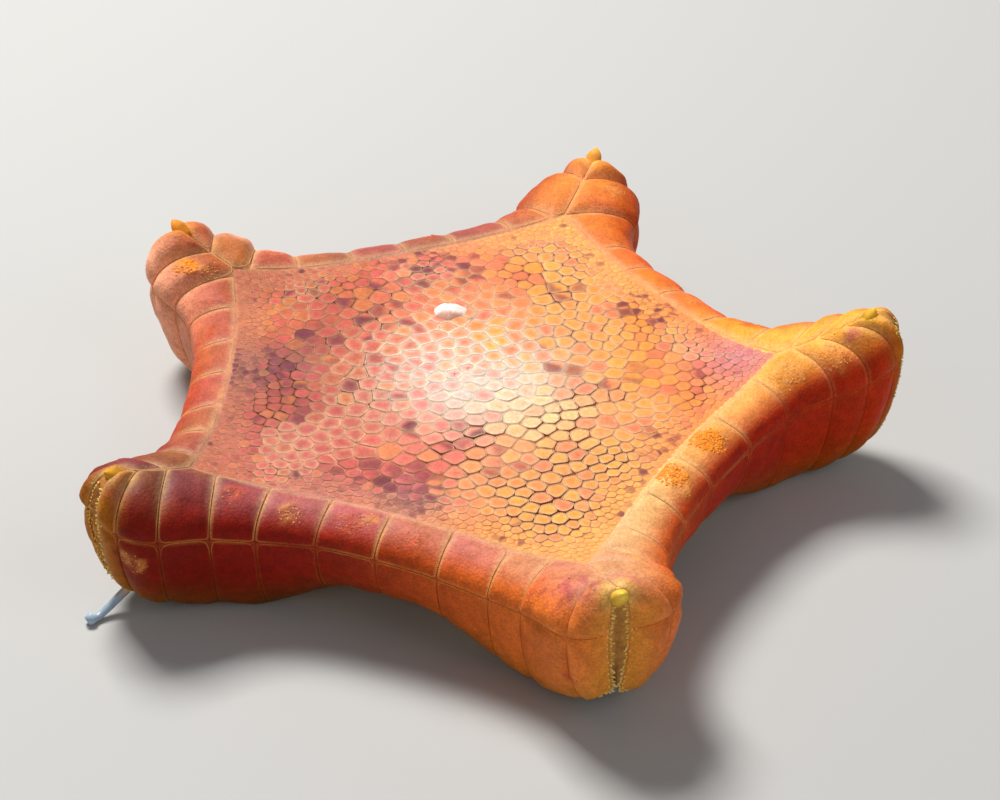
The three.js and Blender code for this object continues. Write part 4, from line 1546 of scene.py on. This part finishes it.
def add_seam_beads(parts, rim, rng, plate, half):
    """A ring of beads round one plate of the rim, which sink where its seam fades."""
    u, w = seam_path(rim, plate, half)
    line = rim.sample(rim.points, u, w)
    run = run_along(line)
    marks = np.arange(0, run[-1] - 0.5 * BEAD_PITCH, BEAD_PITCH)
    u, w = np.interp(marks, run, u), np.interp(marks, run, w)
    at = rim.sample(rim.points, u, w)
    ahead = at_marks(marks + 0.1, run, line) - at
    normal = unit(rim.sample(rim.normal, u, w))
    show = seam_show(at)
    upper = smooth(w, 0.60, 0.51)
    tone = mix(rim_tone_with_painted_light(at, w), seam_tone(w), show * (0.08 + 0.62 * upper))
    tone = mix(tone, CREAM, 0.35 * show * smooth(w, 0.4, 0.05))
    tone = tone * rng.uniform(0.85, 1.1, len(at))[:, None]
    wide = rng.uniform(0.08, 0.11, len(at))
    high = (0.03 + 0.06 * show) * (0.6 + 0.4 * upper)
    add_copies(parts, BEAD, at, normal, ahead, sizes(len(at), BEAD_PITCH * 0.60, wide, high),
               tone, rim.run(u, w))


def add_rough_patch(parts, rim, rng, u, w, radius, count, tone):
    """Low bumps of uneven size, crowded towards the middle of a patch."""
    golden = tone is GOLD
    column = np.interp([u - 0.5, u + 0.5], rim.u, rim.run_u[:, int(w * 2 * HALF_ROWS)])
    row = rim.sample(rim.run_w, np.array([u, u]), np.array([w, w + 0.1]))
    reach = radius * rng.random(count) ** 0.6 * rng.uniform(0.6, 1.15, count)
    turn = rng.uniform(0, 2 * math.pi, count)
    u = u + reach * np.cos(turn) / max(np.ptp(column), 1)
    w = np.clip(w + 0.1 * reach * np.sin(turn) / max(np.ptp(row), 0.5), 0.02, 0.98)
    at = rim.sample(rim.points, u, w)
    normal = unit(rim.sample(rim.normal, u, w))
    ahead = rng.normal(0, 1, at.shape)
    wide = rng.uniform(0.07, 0.17, count) * (1.6 if golden else 1.0)
    long = wide * rng.uniform(1.0, 1.3, count)
    tints = mix(rim_tone_with_painted_light(at, w), tone, rng.uniform(0.85 if golden else 0.5, 1.0, count))
    tints = mix(tints, CREAM, rng.uniform(0.0, 0.12 if golden else 0.3, count))
    add_copies(parts, BUMP, at, normal, ahead, sizes(count, long, wide, wide * 0.6), tints,
               rim.run(u, w))


def build_rim_beads():
    """The beads of each side's rim, plate by plate, and then its rough patches."""
    rng = np.random.default_rng(17)
    for rim in RIMS:
        parts = Gathered()
        for plate, half in product(range(len(rim.seams) - 1), (0, 1)):
            add_seam_beads(parts, rim, rng, plate, half)
        for patch in rim.patches():
            add_rough_patch(parts, rim, rng, *patch)
        parts.piece(f"rim_beads_{rim.index + 1}", BEAD_HIDE, "skin")


# ---- tip plates, jaws, spines and tube feet --------------------------------------------

TIP_PLATE = {"radius": 1.5, "length": 2.5, "root": 2.0, "power": 1.7}
JAW = {"radius": 1.5, "length": 2.6, "root": 2.0, "power": 0.9}
JAW_INSET = 1.5              # how far its foot lies above the sole
JAW_DROOP = 0.8              # fall over its way inward
JAW_SPINES = 9
JAW_SPINE_RISE = 1.6         # how far up the jaw they start
JAW_SPINE_REACH = 1.1        # and how far to each side
SPINE_CLEARANCE = 0.12       # height of a spine's tip over the floor, at the least
SPINE_PITCHES = (0.62, 0.74, 0.66, 0.7)   # row by row, from the furrow out
SPINE_ROW_START = 0.35 * TOP_HEIGHT       # each row from the third on starts that much higher
SPINE = turned(((0.8, -0.3), (1.0, 0.2), (0.9, 0.7), (0.5, 0.95)), 6)
BUMP = turned(((1.0, -0.6), (1.0, 0.1), (0.8, 0.62), (0.42, 0.94)), 8)
FOOT = turned(((0.9, -0.2), (1.0, 0.2), (0.85, 0.6), (0.8, 0.82), (1.25, 0.92), (1.2, 0.98),
               (0.6, 0.96)), 9)


def rounded_plug(radius, length, root, power, steps=9, sides=26):
    """A round-headed plug about +Z, for tip plates and jaws. power: how pointed its head is."""
    turn = np.linspace(0, QUARTER, steps + 1)[:-1]
    rows = [(radius, -root), (radius, -root / 2)]
    rows += [(radius * math.cos(t) ** power, length * math.sin(t)) for t in turn]
    return turned(rows, sides, top=length, bottom=-root)


def add_one(parts, shape, at, up, ahead, tint):
    """One copy of a shape at its own size, with a tint for each of its points."""
    add_copies(parts, shape, at[None], up[None], ahead[None], np.ones((1, 3)), tint[None])


def build_tip_plates():
    """The plate at the end of each arm: an uneven blunt cone that points up and outward."""
    for k, (arm, tone, drop, tilt) in enumerate(zip(ARMS, TIP_TONES, TIP_DROPS, TIP_TILTS)):
        points, faces = rounded_plug(**TIP_PLATE)
        around = np.arctan2(points[:, 1], points[:, 0])
        swell = 1 + 0.07 * np.cos(2 * around) + 0.07 * noise(points + 9 * arm.along[0], 1.1, 81)
        points = points * np.stack([0.94 * swell, 0.88 * swell, np.ones_like(swell)], -1)
        at = lifted(arm.at(arm.tip + 0.25 * drop), tip_place(k)[2])
        steep = math.radians(tilt)
        up = lifted(arm.along * math.cos(steep), math.sin(steep))
        # painted shade at the plate's foot, and painted light that makes it lighter towards its
        # head
        tint = mix(tone * 0.82, tone * 1.08, smooth(points[:, 2], 0.0, 2.4))
        tint = tint * (1 + 0.10 * noise(points, 0.5, 82) + 0.16 * noise(points, 1.5, 83))[:, None]
        parts = Gathered()
        add_one(parts, (points, faces), at, up, lifted(arm.across), tint)
        parts.piece(f"tip_plate_{arm.name}", STONE, "tip_plate", [f"terminal_{arm.name}"])


def build_jaws():
    """The five mouth corners, each a blunt plate with a fringe of spines over the mouth."""
    rng = np.random.default_rng(23)
    for k, arm in enumerate(ARMS):
        up = unit(lifted(-arm.jaw, -JAW_RADIUS * JAW_DROOP))
        side = unit(np.cross(up, [0, 0, 1]))
        at = lifted(arm.jaw, sole_height(arm.jaw) + JAW_INSET)
        points, faces = rounded_plug(**JAW)
        tint = JAW_TONE * (1 + 0.15 * noise(points, 0.6, 91))[:, None]
        parts = Gathered()
        add_one(parts, (points, faces), at, up, side, tint)
        share = np.linspace(-1, 1, JAW_SPINES)[:, None]
        start = at + up * JAW_SPINE_RISE + side * share * JAW_SPINE_REACH
        lean = unit(up + 0.45 * side * share + [0, 0, -0.35])
        length = rng.uniform(1.3, 1.7, JAW_SPINES)
        size = sizes(JAW_SPINES, along=0.26, sideways=0.20, upwards=length)
        shade = mix(JAW_SPINE_ROOT, CREAM, np.clip(SPINE[0][:, 2], 0, 1))
        add_copies(parts, SPINE, start, lean, side[None], size, shade[None])
        parts.piece(f"mouth_plate_{k + 1}", STONE, "jaw", [f"jaw_{k + 1}"])


def resampled(line, pitch, *others):
    """Even points along a line, and other values along it at the same places."""
    run = run_along(line)
    marks = np.arange(0.5 * pitch, run[-1], pitch)
    return [at_marks(marks, run, values) for values in (line,) + others]


def add_spine_row(parts, rng, row, edge, across, into):
    """Blunt spines along a furrow's edge; row 0 leans over the furrow, row 3 lies farthest out."""
    into, across = unit(into), unit(across)
    wall = smooth(edge[:, 2], 1.0, 5.0)
    at = edge - across * 0.55 * row + into * (0.32 - 0.12 * wall)[:, None]
    out = ((0.06 + 0.55 * wall) * (1.0 + 0.3 * row))[:, None]
    lean = unit(across * (0.75 - 0.35 * row) - into * out + rng.normal(0, 0.22, at.shape))
    length = rng.uniform(0.5, 1.05, len(at)) * (1 - 0.2 * row)
    size = sizes(len(at), rng.uniform(0.18, 0.30, len(at)), 0.18, length)
    tone = mix(SPINE_LOW, SPINE_HIGH, wall)
    tone = tone * rng.uniform(0.8, 1.1, len(at))[:, None]
    tone = mix(tone, CREAM, rng.uniform(0, 0.6, len(at)) ** 2)
    shade = (0.72 + 0.40 * np.clip(SPINE[0][:, 2], 0, 1))[None, :, None]
    # a spine that would reach into the floor is turned up
    low = at[:, 2] + lean[:, 2] * length < SPINE_CLEARANCE
    lean[low, 2] = np.abs(lean[low, 2]) * 0.3
    ahead = np.gradient(at, axis=0)
    add_copies(parts, SPINE, at, lean, ahead, size, tone[:, None] * shade)


def build_furrow_spines():
    """Four rows of blunt spines along both edges of every furrow, out to the tip plate."""
    rng = np.random.default_rng(29)
    for k, arm in enumerate(ARMS):
        parts = Gathered()
        first, second, inward, _, _ = furrow_frame(k)
        for edge, other in ((first, second), (second, first)):
            below_tip = edge[:, 2] < edge[-1, 2] - 0.4 - TIP_DROPS[k]
            for row, pitch in enumerate(SPINE_PITCHES):
                kept = below_tip & (edge[:, 2] > (row - 1) * SPINE_ROW_START)
                at, over, into = resampled(edge[kept], pitch, other[kept], inward[kept])
                add_spine_row(parts, rng, row, at, over - at, into)
        parts.piece(f"furrow_spines_{arm.name}", BEAD_HIDE, "skin")


FOOT_PITCH = 1.25
FOOT_RADIUS = 0.42
FOOT_CLEARANCE = 0.15        # height of a foot's end over the floor, at the least
FEET_BELOW = 6.0             # there are no feet in a furrow above this height
SUCKER_RADII = (0.72, 1.05, 0.80)
FOOT_ROOT = rgb(214, 176, 132)
FOOT_END = rgb(164, 188, 208)
# Feet that reach out: arm, distance along it, sideways, bearing from the arm, length
REACHING_FEET = ((3, 66.0, 0.4, 2, 9.0), (2, 60.0, -2.0, 12, 4.5))


def add_foot_row(parts, rng, share, frame_of_furrow, shade):
    """Feet along a line of the furrow's floor, at a share of the way across it."""
    first, second, inward, depth, _ = frame_of_furrow
    line = first + (second - first) * share
    deep = (depth * math.sin(math.pi * share) ** 2)[:, None]
    at, into, deep, ahead = resampled(line + inward * deep, FOOT_PITCH, inward, deep,
                                      np.gradient(line, axis=0))
    level = at[:, 2] < FEET_BELOW
    at, into, deep = at[level], unit(into[level]), deep[level][:, 0]
    lean = unit(-into + rng.normal(0, 0.16, at.shape))
    room = np.where(lean[:, 2] < -0.2, (at[:, 2] - FOOT_CLEARANCE) / np.abs(lean[:, 2]), 2.0)
    length = np.minimum(room, deep + rng.uniform(0.1, 0.6, len(at)))
    size = sizes(len(at), FOOT_RADIUS, FOOT_RADIUS, length)
    add_copies(parts, FOOT, at, lean, ahead[level], size, shade[None])


def bent_foot(start, end, rings=14, sides=12):
    """A tube that comes down from a furrow and lies out along the floor, with its sucker."""
    share = np.linspace(0, 1, rings)
    middle = start * (1 - share[:, None]) + end * share[:, None]
    middle[:, 2] = end[2] + (start[2] - end[2]) * (1 - share) ** 1.8
    sideways = unit((end - start)[:2])[::-1] * [1, -1]
    middle[:, :2] += 0.25 * np.sin(share * 5)[:, None] * sideways
    radius = 0.84 - 0.16 * smooth(share, 0, 0.5) + 0.03 * np.sin(share * 70)
    radius[-3:] = SUCKER_RADII
    middle[:, 2] = np.maximum(middle[:, 2], radius + 0.02)
    ahead = unit(np.gradient(middle, axis=0))
    side = unit(np.cross(ahead, [0, 0, 1.0]))
    up = np.cross(side, ahead)
    around = ray(turns(sides))[None]
    round_it = around[..., :1] * side[:, None] + around[..., 1:] * up[:, None]
    points = (middle[:, None] + radius[:, None, None] * round_it).reshape(-1, 3)
    points = np.concatenate([points, [middle[-1] + 0.02 * ahead[-1]], [middle[0]]])
    return points, tile_faces(sides, rings)[:, ::-1]


def build_tube_feet():
    """Soft feet in two rows along each furrow, and a few that reach out under the arms."""
    rng = np.random.default_rng(31)
    parts = Gathered()
    shade = mix(FOOT_ROOT, FOOT_END, smooth(FOOT[0][:, 2], 0.2, 0.8))
    for k, share in product(range(len(ARMS)), (0.30, 0.70)):
        add_foot_row(parts, rng, share, furrow_frame(k), shade)
    for k, distance, sideways, bearing, length in REACHING_FEET:
        arm = ARMS[k]
        plan = arm.at(distance, sideways)
        start = lifted(plan, sole_height(plan) + 0.6)
        end = lifted(plan + length * ray(math.radians(arm.angle + bearing)), 0.45)
        points, faces = bent_foot(start, end)
        tint = mix(FOOT_ROOT, FOOT_END, smooth(np.linspace(0, 1, len(points)), 0.05, 0.4))
        parts.add(points, faces, tint, points[:, :2])
    parts.piece("tube_feet", FOOT_FLESH, "tube_feet")


# ---- camera, floor and light -----------------------------------------------------------

TARGET = np.array([-0.884, -9.090, 21.0]) * MM
VIEW_RISE = math.radians(35.262)
VIEW_DISTANCE = 448.64 * MM
LENS = 95.78                 # on a sensor 36 mm wide
FLOOR_HALF = 4.0             # in metres


def add_camera():
    """The camera, at the photograph's angle."""
    data = bpy.data.cameras.new("camera")
    data.lens = LENS
    data.sensor_width = 36
    data.clip_start = 0.01
    camera = add_object("camera", data)
    backward = Vector((0, -math.cos(VIEW_RISE), math.sin(VIEW_RISE)))
    camera.location = Vector(TARGET) + VIEW_DISTANCE * backward
    camera.rotation_euler = (QUARTER - VIEW_RISE, 0, 0)
    bpy.context.scene.camera = camera


def add_floor():
    """A plain pale floor."""
    half = FLOOR_HALF
    corners = [(-half, -half, 0), (half, -half, 0), (half, half, 0), (-half, half, 0)]
    mesh = bpy.data.meshes.new("floor")
    mesh.from_pydata(corners, [], [(0, 1, 2, 3)])
    paint = bpy.data.materials.new("floor")
    paint.use_nodes = True
    set_inputs(paint.node_tree.nodes["Principled BSDF"],
               {"Base Color": (0.50, 0.50, 0.49, 1), "Roughness": 0.7})
    mesh.materials.append(paint)
    floor = add_object("floor", mesh)


def add_light(name, place, power, size, colour):
    """A square soft light that faces the object."""
    data = bpy.data.lights.new(name, "AREA")
    data.energy, data.size, data.color = power, size, colour
    light = add_object(name, data)
    light.location = place
    light.rotation_euler = (-Vector(place)).to_track_quat("-Z", "Y").to_euler()


def add_world():
    """Dim, even light from all round."""
    world = bpy.data.worlds.new("studio")
    world.use_nodes = True
    set_inputs(world.node_tree.nodes["Background"],
               {"Color": (0.90, 0.93, 0.96, 1), "Strength": 0.16})
    bpy.context.scene.world = world
    bpy.context.scene.view_settings.view_transform = "Standard"


# ---- assembling ------------------------------------------------------------------------

make_piece("body", *build_skin(), HIDE, "skin", ["disc"] + [f"arm_{arm.name}" for arm in ARMS])
build_top()
build_under()
build_sieve()
build_rim_beads()
build_tip_plates()
build_jaws()
build_furrow_spines()
build_tube_feet()

add_camera()
add_floor()
add_light("key", (-0.30, 0.45, 0.85), power=13.5, size=0.35, colour=(1.0, 0.98, 0.95))
add_light("fill", (0.8, -0.5, 0.7), power=2.2, size=0.8, colour=(0.97, 0.98, 1.0))
add_light("front", (-0.4, -0.9, 0.45), power=1.2, size=0.8, colour=(1.0, 0.98, 0.96))
add_world()
